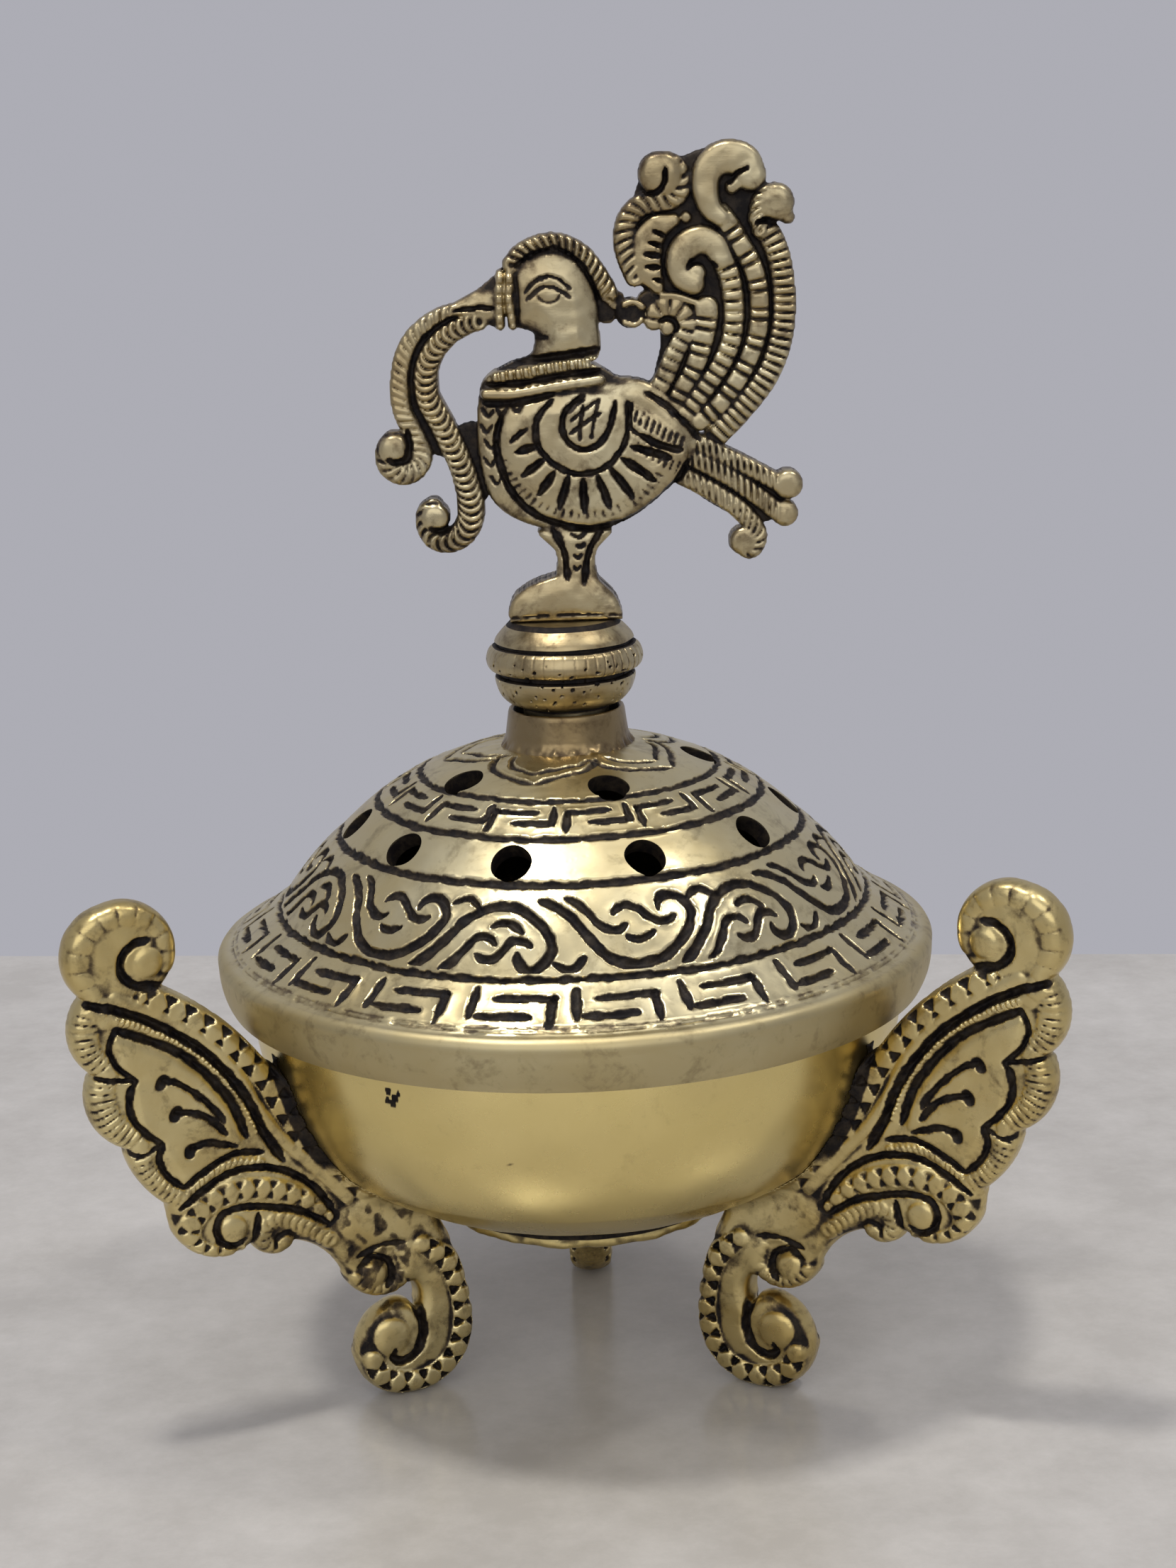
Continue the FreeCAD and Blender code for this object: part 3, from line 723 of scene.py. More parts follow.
    # the two strands that hang from the beak
    r.area([(-12, 143.4), (-16, 141.6), (-18.6, 137.6), (-18.6, 132.6), (-17.4, 128), (-15.6, 125.4),
        (-12.6, 125.6), (-14.4, 130.4), (-16, 135), (-14.8, 139), (-11.6, 141.4)], 0.9, rounding=0.6,
        stain=1)
    r.area([(-21.6, 127.8), (-18, 129.6), (-17.4, 125.6), (-19.6, 124), (-21.8, 124.8)], 1, rounding=0.6,
        stain=1)
    r.rod([(-11.2, 144), (-12.8, 143.9), (-14.6, 143.2), (-16.4, 142), (-18.1, 140.3), (-19.2, 138.2),
        (-19.8, 135.4), (-19.9, 132.8), (-19.5, 130.8), (-18.6, 128.9), (-17.8, 127), (-17.4, 125.2),
        (-18.5, 123.6), (-20.2, 123.2), (-21.8, 124.2), (-22.2, 126), (-21.4, 127.4),
        (-20.6, 127.6)], 2.7, 2.2, taper=(0.6, 0.9, 1, 1, 1, 1.1, 1),
        pattern=beads(1.05, 0.65, slant=-0.5, power=2.8))
    r.rod([(-9.4, 142.4), (-11, 142), (-13.2, 140.9), (-15, 139.2), (-16.1, 137.2), (-16.5, 135),
        (-16.3, 133), (-15.5, 131.2), (-14.5, 129.2), (-13.6, 127), (-12.8, 125), (-12.1, 122.8),
        (-11.6, 120.6), (-11.4, 118.4), (-11.8, 116.4), (-13, 114.9), (-14.7, 114.3), (-16.3, 114.8),
        (-17.2, 116.3), (-17.2, 117.9), (-16.3, 118.7)], 3.3, 2.5, taper=(0.75, 0.9, 1, 1, 1, 1.15, 1, 0.85),
        pattern=scales)
    r.ball(-21, 126.5, 2.1, 2.9)
    r.ball(-16.1, 117.5, 2, 2.9)
    r.area([(-13, 128.6), (-9.4, 128.8), (-9, 120.2), (-11, 119.9), (-12.6, 122.6)], 1, rounding=0.6, stain=1)
    r.cut([(-19.2, 128.9), (-19, 126.8), (-19.5, 125.3), (-20.9, 124.9), (-21.9, 125.3)], 0.9, 1.3)
    r.cut([(-13.8, 119.9), (-13.8, 117.6), (-14.4, 116.1), (-15.6, 115.7), (-16.7, 116.1)], 0.95, 1.3)
    r.cut([(-12.4, 143.2), (-15.2, 141.6), (-17.2, 139.6), (-18.2, 136.8), (-18.3, 134), (-17.9, 131.6),
        (-16.9, 129), (-15.8, 126.6)], 0.75, 0.7)
    # grooves of the tail's scrolls
    for slot in ([(13.3, 153.1), (14.9, 152.3)], [(12.5, 151.7), (14.4, 151)], [(12.1, 150.2), (14.4, 149.8)],
                 [(12.2, 148.7), (14.3, 148.5)], [(12.9, 147.1), (14.4, 146.7)]):
        r.cut(slot, 0.85, 1.1, ends=0.3, smooth=False)
    for hook in ([(15, 160.9), (14.9, 159.2), (14, 158), (12.3, 157.6)],
                 [(13.7, 141.7), (14.9, 142), (15.9, 141.3), (15.9, 140.1)],
                 [(21.2, 148.4), (19.6, 149), (18, 148.9), (17.4, 148.2)],
                 [(23, 158.6), (24, 159.8), (25.4, 160.5)],
                 [(26.2, 153.6), (27.4, 153.9), (28.6, 153.6), (29.6, 153.4)]):
        r.cut(hook, 0.8, 1)
    # plinth, stalk, body
    plinth = [(-7, 103.3), (-7.1, 105), (-6.2, 106.8), (-4.2, 108.2), (-1.4, 109.2), (1.6, 109.6),
        (4.6, 108.8), (6.6, 107), (7.6, 105.2), (8, 103.3)]
    r.area(smooth_line(plinth), 3.3, smooth=False, rounding=2, gain=0.82)
    stalk = [(-1.2, 107.4), (-0.6, 110.4), (-0.8, 112.6), (-2.6, 115.4), (6.6, 115.4), (4.9, 112.6),
        (4.6, 110.4), (5.3, 107.4)]
    r.area(smooth_line(stalk), 3, smooth=False, rounding=1.6)
    body = [(1.5, 114.6), (-5, 116.5), (-8.6, 119.4), (-9.8, 123.6), (-10.2, 128.4), (-9.9, 132.4),
        (-8.8, 135.3), (-4, 137.6), (2, 137.6), (6.4, 136), (8.2, 134.9), (11.8, 134.2), (15.4, 131.4),
        (18.2, 127.4), (17.4, 123.6), (14.6, 120.2), (10.2, 116.8), (5.6, 115)]
    r.area(body, 3, rounding=2.2, gain=0.6)
    wing = [(-7.3, 129.6), (-7.6, 125.6), (-6, 121.3), (-2.4, 117.6), (3, 115.7), (8.4, 116.6), (13, 119.4),
        (16.6, 123.6), (16.4, 127), (12, 130.6), (7, 133), (1, 133.3), (-4.6, 132.6)]
    r.area(wing, 3.7, rounding=2.6, gain=0.72, outline=False)
    # neck, head, crest, beak
    r.area([(-2.7, 138.4), (-2.5, 140.6), (-4.7, 141.7), (-5.4, 144.6), (-5.2, 147.8), (-4, 149.8),
        (-1.4, 151), (1.4, 150.9), (4, 149.4), (5.6, 146.4), (6, 142), (5.9, 137.6), (2, 136.6),
        (-4, 136.9)], 3.1, rounding=3, gain=0.45)
    r.area([(-5.2, 149), (-2.6, 151), (1.2, 151.6), (4.4, 150), (6.6, 146.6), (8.4, 144.4),
        (6.4, 141.6)], 1.1, rounding=0.5)
    r.rod([(-4.9, 149.5), (-3.4, 151), (-0.8, 152), (1.6, 151.9), (4.1, 150.5), (5.9, 148.2), (7, 146.3),
        (7.4, 145.4)], 2.5, 2.6, pattern=beads(1, 0.75, slant=0.4, power=2.4))
    r.area([(-6.4, 148.1), (-9.4, 146.5), (-12.9, 144.6), (-12.9, 143.5), (-9.4, 142.4), (-6.2, 141.8)], 2.6,
        rounding=2.2, gain=0.6)
    for x_top, x_low in ((-5.2, -5), (-6.4, -6.6)):
        r.rod([(x_top, 148.3), (x_top - 0.2, 145), (x_low, 141.8)], 1.35, 3, pattern=beads(1.25, 0.3))
    r.fill_web(1.15)
    r.hammer(0.5, 0.035)

    # engraving: throat, eye, beak
    r.cut([(-3.6, 141.4), (-2.2, 140.4), (-0.6, 140.2)], 0.8, 0.45, stain=0.7)
    r.cut([(-4.4, 141.8), (-4.2, 144.8), (-4.4, 147.9)], 0.45, 0.4)
    r.cut([(-3.3, 145.9), (-1.8, 147.4), (-0.3, 147.9), (1.1, 147.5), (2.5, 146.2)], 0.55, 0.42)
    r.cut([(-3.1, 145), (-1.6, 146.3), (-0.4, 146.6), (1, 146.2), (2.4, 145.2)], 0.45, 0.35)
    r.cut([(-1.7, 145.6), (-1.2, 144.9), (-0.3, 144.6), (0.7, 144.9), (1.1, 145.6)], 0.3, 0.22, stain=0.6)
    r.cut([(-7.2, 144.1), (-9.6, 144.2), (-12.4, 143.9)], 0.75, 0.8)
    r.cut([(-4.4, 149.2), (-2.8, 150.4), (-0.6, 151.2), (1.5, 151.1), (3.6, 149.6), (5.2, 147),
        (6.1, 144.6)], 0.6, 0.9)
    # neck rings
    r.rod([(-8, 135.3), (-4, 135.8), (0, 136.4), (5.9, 136.9)], 1.7, 3.7, pattern=beads(1, 0.5, power=3),
        base=2.2, outline=False)
    r.rod([(-8.8, 133.3), (-5, 133.2), (0, 133.9), (5.9, 134.6)], 1.5, 3.5, base=2.2, outline=False)
    r.cut([(-4.8, 137.2), (-1, 137.6), (2.5, 138), (6, 138.5)], 1.1, 1)
    r.cut([(-8.7, 134.5), (-4, 134.6), (0, 135.2), (6, 135.8)], 0.8, 0.9)
    r.cut([(-9.2, 132.1), (-6, 132), (-2.6, 132.5), (0, 133.1)], 1, 0.9)
    # wing
    r.cut([(-6.9, 130.6), (-7.7, 126.6), (-6.4, 121.4), (-3, 117.6), (2.6, 115.6), (8.2, 116.2),
        (12.6, 118.6), (15.6, 121.6), (17, 124)], 0.95, 1)
    r.cut([(-0.2, 132.4), (-2.2, 130.2), (-2.6, 127.6), (-1.5, 125.2), (0.8, 123.3), (3.6, 122.7),
        (6.6, 123.7), (8.6, 126.2), (9.4, 129.2), (9.3, 131.8)], 0.8, 0.7)
    r.cut([(3.8, 132.7), (1.6, 131.2), (0.8, 129), (1.5, 126.9), (3.5, 125.8), (5.6, 126.6), (7, 128.8),
        (7.8, 131.9)], 0.85, 0.8)
    for a, b in (((2, 129.6), (5.8, 132.2)), ((1.8, 127.9), (6, 130.6)), ((3, 126.9), (3.7, 131.6)),
                 ((4.6, 127.2), (5.6, 132)), ((1.9, 130.8), (3.8, 132.2))):
        r.cut([a, ((a[0] + b[0]) / 2 - 0.15, (a[1] + b[1]) / 2), b], 0.48, 0.4, smooth=True)
    for turn, near, far in ((-163, 5.8, 9.2), (-143, 5.9, 9.8), (-124, 6.4, 10.6), (-107, 6.4, 11.2),
                            (-90, 6.4, 11.4), (-73, 6.4, 11.4), (-56, 6.2, 11.6), (-38, 6.2, 12),
                            (-20, 6.6, 12.4)):
        t = math.radians(turn)
        at = [(3.3 + d * math.cos(t), 128.2 + d * math.sin(t) * 0.93) for d in (near, (near + far) / 2, far)]
        r.cut(at, 1.15, 0.95, ends=0.15)
    for k in range(26):
        t = math.radians(-168 + k * 5.6)
        at = [(3.6 + d * math.cos(t), 126.6 + d * math.sin(t) * 0.86) for d in (10.1, 11.4)]
        r.cut(at, 0.3, 0.22, smooth=False, stain=0.5)
    r.cut([(10.6, 127.6), (13, 126.2), (16.4, 125.1)], 1.1, 0.9, ends=0.2)
    r.cut([(9.8, 131.6), (9.6, 128.6), (10.6, 127.4)], 0.6, 0.6)
    for k in range(9):
        x, z = 10.6 + 0.72 * k, 130.6 - 0.46 * k
        r.cut([(x, z), (x - 0.55, z - 1.5)], 0.35, 0.35, smooth=False, stain=0.7)
        r.cut([(x + 0.2, z - 3.6), (x - 0.5, z - 5.2)], 0.35, 0.3, smooth=False, stain=0.7)
    r.cut([(11.6, 132.9), (14.4, 130.9), (17, 128.2), (18.6, 126.2)], 0.8, 0.8)
    r.cut([(-6, 127), (-4.9, 128), (-3.6, 128.8)], 0.8, 0.6, ends=0.2)
    # breast scales
    for x, z in ((-8.6, 130.9), (-6.9, 131.1), (-8.9, 128.9), (-8.4, 126.8), (-8.6, 124.6),
                 (-4.9, 131.4), (-7.9, 122.2)):
        r.cut([(x - 0.8, z + 0.6), (x, z - 0.5), (x + 0.8, z + 0.5)], 0.5, 0.4, stain=0.7)
    # stalk
    r.cut([(-0.9, 115.6), (0.5, 112.4), (0.8, 108.6)], 0.85, 0.8)
    r.cut([(5.6, 115.6), (3.7, 112.4), (2.9, 108.2)], 0.85, 0.8)
    for x, z, half in ((2.4, 114.6, 0.9), (2.6, 113.3, 0.6), (2.2, 111.9, 0.5), (2.1, 110.4, 0.4)):
        r.cut([(x - half, z + 0.25), (x, z - 0.2), (x + half, z + 0.25)], 0.45, 0.4)
    r.cut([(-6.8, 104), (0, 104.3), (7.9, 104)], 0.35, 0.25, stain=0.6)
    return r


def make_peacock():
    r = peacock_relief()
    verts, faces = casting(r, thick=7.4)
    verts = relax(verts, faces)
    hollow = r.sample(r.hollows(smoky=0.25), verts[:, 0], verts[:, 2])
    hollow = np.maximum(hollow, side_wall(verts, faces) * 0.2)
    new_mesh("peacock_casting", verts, faces, "lid", FINIAL_BRASS, ("finial_peacock",),
             {"hollow": hollow})


# ---------------------------------------------------------------- legs
# outline of a leg as (radius, height): corner, point on the arc between, corner ...
LEG_SHAPE = (
    (26, 30), (19.7, 17.5), (18.3, 8.7), (20.4, 2.9), (25.4, 0), None, (29.2, 0), (35.3, 6.4),
    (30.9, 13.2), (28.5, 13.6), (26.4, 11.8), (26, 13.8), (26.9, 15.9), (32.2, 14.8), (36.6, 19.3),
    (39.2, 22.9), (43, 25), (45.8, 23.9), (48.9, 25.9), (56.6, 26.4), (59.8, 33.7), (63.2, 37.6),
    (65, 42.5), (69.1, 47.6), (68.4, 53), (70.8, 58.2), (68.9, 63), (70.8, 69), (65.4, 74.3),
    (57.6, 72), (58.2, 63), (49.2, 55.6), (42.3, 45), (38.2, 38.2), (31.8, 31.8), None,
)
# place, azimuth, and how stained the root is
LEGS = (("front_left", 206, 0.36), ("front_right", 329, 0.14), ("rear", 89, 0.25))
BOWL_SIDE = ((44.0, RIM_Z), (42.2, 43.8), (36.0, 33.0), (28.6, 28.2), (20.6, 25.4))


def arc_chain(points):
    """Closed outline of three-point arcs: corner, point between, corner ..., None for a straight run."""
    loop = list(points) + [points[0]]
    out = []
    for i in range(0, len(points), 2):
        a, b, c = loop[i:i + 3]
        out.append(np.array([a]) if b is None else arc3(a, b, c)[:-1])
    return np.vstack(out)


def bowl_profile():
    a, b, c, d, e = BOWL_SIDE
    return np.vstack([arc3(a, b, c, 60)[:-1], arc3(c, d, e, 50)])


def facets(pitch, depth=0.5, rail=0.72):
    """Pattern along a rod: a row of beads between two rails, with dark pockets left between them."""
    def pattern(arc, offset, half):
        turn = arc / pitch
        joint = np.abs(turn - np.floor(turn) - 0.5) * pitch
        o = np.abs(offset) / half
        pocket = np.clip((o * 0.52 * pitch - joint) / 0.3, 0, 1) * np.clip((rail - o) / 0.12, 0, 1)
        dip = 0.10 * np.exp(-(joint / 0.3) ** 2) * (o < rail)
        return 1.0 - dip - depth * pocket
    return pattern


def leg_relief():
    """One leg, drawn with x as the radius from the bowl's axis."""
    r = Relief((16.5, -1.2), (LEG_HIGH[1] + 1.4, LEG_HIGH[2] + 1.4), DETAIL)
    r.area(arc_chain(LEG_SHAPE), 2.5, smooth=False, rounding=1.3, gain=0.62)
    plain = dict(outline=False)
    # wing panel with its scalloped rim
    for line in ([(68, 62.6), (69, 59.4), (68.6, 55.8), (66.9, 53.3)],
                 [(67.2, 52.4), (67.5, 49.2), (66.2, 45.9), (63.6, 43)],
                 [(63.5, 42), (62.8, 39), (60.8, 36.2), (58.4, 34.2)]):
        r.rod(line, 4.6, 3, base=1.2, pattern=beads(0.95, 0.26, power=5), **plain)
    r.area([(65.2, 58), (58, 54), (54.2, 50.4), (51, 45.9), (49.4, 41), (50.8, 39.4), (54.2, 38.2),
        (57.8, 36.4), (60, 40.2), (63.2, 45.6), (64, 51), (65.6, 55.2)], 2.9, rounding=1, gain=0.8, **plain)
    # inner rail, faceted beads, milgrain
    r.rod([(33.4, 30.8), (38, 35.6), (41.2, 39.8), (43.8, 44.4), (46, 48.8), (49, 52.8), (52.6, 56.2),
        (57, 59.6), (61.2, 62.2)], 4.1, 3.3, base=1.6, pattern=facets(2.9, 1), sharp=4, **plain)
    r.rod([(35.6, 30), (40.5, 35.9), (44.5, 40.5), (47.3, 45), (49.5, 49.6), (52.7, 54.1), (58.2, 58.7),
        (65, 62.8)], 2.3, 3.2, base=1.6, sharp=3, **plain)
    r.rod([(47.3, 41.4), (49.2, 46), (51.9, 50.5), (56, 54.7), (60.6, 57.8), (64.8, 59.8)], 1.3, 3, base=1.8,
        pattern=beads(0.72, 0.55), **plain)
    r.rod([(47.2, 37.4), (51.4, 38), (54.6, 36.9), (58.4, 34.3)], 1.4, 2.9, base=1.6,
        pattern=beads(0.8, 0.45, slant=0.5), **plain)
    # strands and scrolls below the wing
    r.rod([(38, 27.8), (41.6, 31), (45.6, 33.2), (50.2, 34.1), (54.6, 33.2), (57.4, 30.4), (57, 27.4),
        (54.2, 25.8), (51.4, 26)], 3.7, 3.1, base=1.4, taper=(0.7, 0.9, 1, 1.05, 1.1, 1.1, 0.9),
        pattern=facets(2.2, 0.35), sharp=4, **plain)
    r.rod([(38.4, 24.6), (41.6, 27.2), (45, 28.9), (47.2, 28.2), (47.4, 26), (45.6, 24.6)], 3, 2.9, base=1.4,
        pattern=beads(1.1, 0.25, bow=0.4), **plain)
    r.ball(51.6, 28.9, 2.3, 3.2, **plain)
    r.ball(44.6, 25.4, 1.4, 2.8, **plain)
    # top scroll
    r.rod([(66.4, 60.6), (68.6, 64.6), (68.8, 69.2), (66, 72.6), (61.4, 73), (58.2, 70.4),
        (58, 66.8)], 4.6, 3.1, base=1.4, pattern=beads(2.3, 0.12, power=8), sharp=3, **plain)
    r.ball(63.6, 67.8, 6.4, 3.1, **plain)
    r.ball(60.4, 66.8, 2.4, 3.6, **plain)
    # root, plain where it meets the bowl
    r.area([(20.5, 20.6), (23.6, 26), (30, 31), (34.6, 31.6), (37.8, 28.2), (37.6, 25), (34.6, 22.2),
        (30.4, 20.8), (25, 19.2)], 3.2, rounding=2.6, gain=0.6, **plain)
    # foot: faceted shin, ball inside the scroll, chin curl
    r.ball(29, 7.4, 6.6, 3.3, **plain)
    r.rod([(26.6, 20.4), (24.6, 15.4), (24.2, 10.4), (24.8, 6.6)], 5.2, 3.4, base=2.6, **plain)
    r.rod([(25.6, 21.4), (22, 18), (20.3, 13.4), (20.1, 8.7), (21.7, 4.6), (25, 2.1), (29, 2), (32.2, 3.6),
        (33.6, 6.4)], 4.2, 3.9, base=1.5, taper=(0.8, 1, 1, 1, 1, 1, 1, 0.8), pattern=facets(2.6, 0.7),
        sharp=4, **plain)
    r.ball(30.6, 9, 3.2, 4, **plain)
    r.rod([(28.6, 21.6), (27.8, 18.4), (29.4, 16.2), (32.4, 16), (35.2, 18)], 2.8, 3.1, base=1.4,
        pattern=beads(1.2, 0.25), **plain)
    r.ball(32.6, 18.3, 2.1, 3.3, **plain)
    r.fill_web(1.3)
    r.hammer(0.55, 0.045)

    # grooves
    r.cut([(44.2, 36.9), (46.6, 41.4), (48.6, 46.4), (51.3, 50.6), (55, 54.8), (60.4, 58.8), (65, 61.2),
        (69, 62.6)], 1.3, 1.2)
    r.cut([(65.2, 58.6), (58.4, 55), (54, 51), (50.7, 46.2), (48.8, 41)], 1.2, 1)
    r.cut([(65.2, 58.6), (66.1, 56.2), (65.3, 53.8), (62.9, 51.4)], 0.8, 0.8)
    r.cut([(62.9, 51.5), (64, 49.4), (63.7, 46.4), (61.9, 44), (60, 42.4)], 0.9, 0.85)
    r.cut([(60, 42.5), (60.7, 40.4), (59.7, 37.9), (57.8, 35.9)], 0.9, 0.85)
    r.cut([(46.6, 38.6), (50.4, 39.2), (54.2, 38), (57.8, 35.9)], 0.9, 0.9)
    r.cut([(68.6, 52.9), (66.4, 52.2), (62.9, 51.4)], 0.7, 0.8)
    r.cut([(65.2, 42.4), (63, 41.4), (60.1, 42.4)], 0.6, 0.7)
    r.cut([(37.7, 28.7), (40.5, 32.8), (44.1, 35.5), (47.7, 36.7), (51.4, 36.7), (54.8, 35.3),
        (58.6, 33.2)], 1, 1.1)
    r.cut([(38.4, 27), (42.3, 29.6), (46.8, 31), (50.6, 31.7), (53, 31.1), (53.8, 29.3), (53.3, 27.6),
        (51.6, 26.7), (50, 27.4)], 0.95, 1)
    r.cut([(48, 30.6), (48.3, 28.6), (48.9, 26.6)], 0.9, 0.9)
    r.cut([(42.8, 25.9), (44.2, 26.9), (45.7, 26.4), (46, 25)], 0.65, 0.6)
    r.cut([(37.9, 28.8), (37.4, 27.6), (38.6, 26.6)], 0.9, 0.8)
    for line in ([(59.7, 50.8), (57.7, 50.2), (55.4, 48.4), (53.2, 46), (51.8, 43.8)],
                 [(58.2, 46.2), (56, 45.9), (53.7, 44.6), (51.5, 41.9)],
                 [(56.6, 40.9), (54.6, 41.5), (52.3, 40.9), (50.2, 40.1)]):
        r.cut(line, 0.95, 0.8, ends=0.3)
        x, z = line[0]
        r.cut([(x - 0.3, z + 0.25), (x, z), (x + 0.15, z - 0.4)], 1.7, 0.9, ends=0.9)
    r.cut([(60, 69.7), (62.2, 69.4), (63.7, 67.8), (63.8, 65.6), (62.4, 64.1), (60.4, 63.6),
        (58.6, 63.4)], 1.2, 1.2)
    r.cut([(36, 39.6), (41.2, 46.2), (45.4, 52)], 0.3, 0.2, stain=0.3)
    r.cut([(27.2, 13.6), (26.2, 11), (26.2, 8.2), (27.4, 6), (29.2, 5.2), (30.6, 5.9), (30.4, 7.2)], 1.4, 1.4)
    r.cut([(34.6, 19.8), (32.6, 20.9), (30.4, 19.8), (30, 17.6), (31, 16.2)], 1, 1)
    r.cut([(28, 22.2), (31.4, 22.4), (34.8, 21.2)], 0.8, 0.7, stain=0.8)
    return r


def make_legs():
    r = leg_relief()
    # the bowl's half section, as a distance field that the leg is faired into and cut back from
    profile = Relief((0, BASE_Z - 22), (76, RIM_Z + 24), 0.4)
    solid = np.vstack([bowl_profile(), [(19.7, BASE_Z), (-30.0, BASE_Z), (-30.0, RIM_Z)]])
    profile.edge[:] = 9.0
    profile.area(solid, 1.0, smooth=False)
    fillet, gap = 2.4, 0.03

    def carve(field, x, y, z):
        radius = np.sqrt(x * x + y * y)
        bowl = profile.sample(profile.edge, radius, np.broadcast_to(z, field.shape))
        near = np.maximum(fillet - np.abs(field - bowl), 0) * (bowl < fillet)
        blended = np.minimum(field, bowl) - near ** 2 / (4 * fillet)
        return np.maximum(np.where(bowl < fillet, blended, field), gap - bowl)

    shade = r.hollows(smoky=0.12)
    r.top *= 0.78                       # drawn deeper than it is, for the sake of the shade
    verts, faces = casting(r, thick=6.4, rounding=1.9, carve=carve)
    verts = relax(verts, faces)
    hollow = r.sample(shade, verts[:, 0], verts[:, 2])
    hollow = np.maximum(hollow, side_wall(verts, faces) * 0.08)
    # little patina on the sides of the casting, none next to the bowl, and painted shadow where the leg meets
    # it
    radius = np.hypot(verts[:, 0], verts[:, 1])
    bowl = profile.sample(profile.edge, radius, verts[:, 2])
    level = np.abs(verts[:, 1]) / np.maximum(r.sample(r.top, verts[:, 0], verts[:, 2]), 0.5)
    hollow = hollow * (0.15 + 0.85 * np.clip((level - 0.6) / 0.2, 0, 1))
    crevice_shadow = np.clip((1.7 - bowl) / 0.5, 0, 1) * np.clip((verts[:, 2] - 34.0) / 3.0, 0, 1)
    hollow = np.maximum(hollow * np.clip(bowl / 1.5, 0, 1), crevice_shadow)
    # stained patches on the plain root, different on each leg
    root = np.clip((4.5 - np.abs(verts[:, 0] - 32.0) / 1.6) / 2, 0, 1)
    root = root * np.clip((31.0 - verts[:, 2]) / 4, 0, 1) * np.clip((verts[:, 2] - 11.0) / 4, 0, 1)
    for place, azimuth, soiled in LEGS:
        patches = waviness(4 * verts[:, 0], 1.6 * verts[:, 2], 1.0, azimuth)
        patches = patches + waviness(9 * verts[:, 0], 4 * verts[:, 2], 0.5, azimuth + 1)
        patches = soiled * root * np.clip((patches - 0.2) / 0.5, 0, 1)
        t = math.radians(azimuth)
        turn = np.array([[math.cos(t), -math.sin(t), 0], [math.sin(t), math.cos(t), 0], [0, 0, 1]])
        new_mesh("leg_casting_" + place, verts @ turn.T, faces, "base", LEG_BRASS,
                 ("leg_" + place,), {"hollow": np.maximum(hollow, patches)})


# ---------------------------------------------------------------- lid
STUD_BORE = 2.05                        # radius of the bore through lid, collar and knob
LID_SIDE = ((46.8, LID_LOW[2]), (47.75, 56.6), (48.0, 59.2), (47.7, 60.7), (46.5, 61.2))
LID_BAND, LID_LEDGE, LID_CROWN = (39.3, 66.1), (31.0, 75.5), (8.4, LID_HIGH[2])
INNER_CROWN, INNER_LEDGE, INNER_BAND, INNER_LIP = (8.2, 84.3), (29.3, 74.0), (37.6, 64.6), (41.6, 61.0)
# rows of vents: radius, height, lean of the bore from upright, azimuths
VENTS = (
    (28.4, 77.4, 35.0, (-170, -138, -105, -71, -35, -1, 31, 63, 95, 127, 158)),
    (17.5, 84.6, 17.0, (-141, -73, -1, 71, 145)),
)
VENT_R, VENT_REACH, VENT_WOBBLE = 2.65, 6.0, 0.035
LID_TRIANGLES = 170000
# how far up the lid's skin each of a few places lies, and their radius and height
LID_UP = (0, 6.6, 8.1, 17.2, 29.8, 36.1, 42.9, 55.3)
LID_MARKS = np.array([(46.8, 54.2), (47.9, 59.9), (46.8, 61.0), (39.3, 66.1), (31.0, 75.5), (25.8, 79.2),
                      (20.3, 83.2), (8.4, 86.7)])
LID_EYE = 40.0                          # height the skin is seen from, to turn points into angles
SKIRT_UP = 8.0                          # how far up the plain edge band reaches
DRAWN_FROM, DRAWN_TO = SEAM - 5, SEAM + 365     # the bands are drawn a little past the seam


def lid_skin():
    a, b, c, d, e = LID_SIDE
    return np.vstack([arc3(a, b, c, 16)[:-1], arc3(c, d, e, 8)[:-1], resample([e, LID_BAND], 1.0)[:-1],
                      arc3(LID_BAND, (35.7, 71.0), LID_LEDGE, 30)[:-1],
                      arc3(LID_LEDGE, (20.3, 83.2), LID_CROWN, 60)])


def tilt(radius, height):
    return np.arctan2(np.asarray(height) - LID_EYE, radius)


def skin_point(up):
    """Radius and height of the lid's skin at a distance up from its lower edge."""
    skin = lid_skin()
    angle = np.interp(up, LID_UP, tilt(LID_MARKS[:, 0], LID_MARKS[:, 1]))
    angles = tilt(skin[:, 0], skin[:, 1])
    return np.stack([np.interp(angle, angles, skin[:, 0]), np.interp(angle, angles, skin[:, 1])], -1)


def round_band(radius, low, high):
    """Empty drawing for one band of the lid, and its two gravers. x is the angle times the
    millimetres in a degree, z is the distance up the skin."""
    stretch = math.radians(radius)
    r = Relief((DRAWN_FROM * stretch, low), (DRAWN_TO * stretch, high), 0.15)
    r.edge[:] = -1.0

    def stroke(points, width, depth, **options):
        """A cut through (angle, up) points, on whichever side of the seam it falls."""
        for whole_turn in (-360, 0, 360):
            moved = [(angle * stretch + whole_turn * stretch, up) for angle, up in points]
            across = [x for x, _ in moved]
            if min(across) < DRAWN_TO * stretch and max(across) > DRAWN_FROM * stretch:
                r.cut(moved, 1.22 * width, depth, burr=0.07, **options)

    def circle(up, width, depth=0.42, sway=0.06, waves=8, stain=0.75, ragged=0.1):
        """A cut all the way round, a little wavy."""
        line = [(angle * stretch, up + sway * math.sin(math.radians(waves * angle)))
                for angle in np.linspace(DRAWN_FROM, DRAWN_TO, 80)]
        r.cut(line, width, depth, smooth=False, stain=stain, ragged=ragged, burr=0.06)

    return r, stretch, stroke, circle


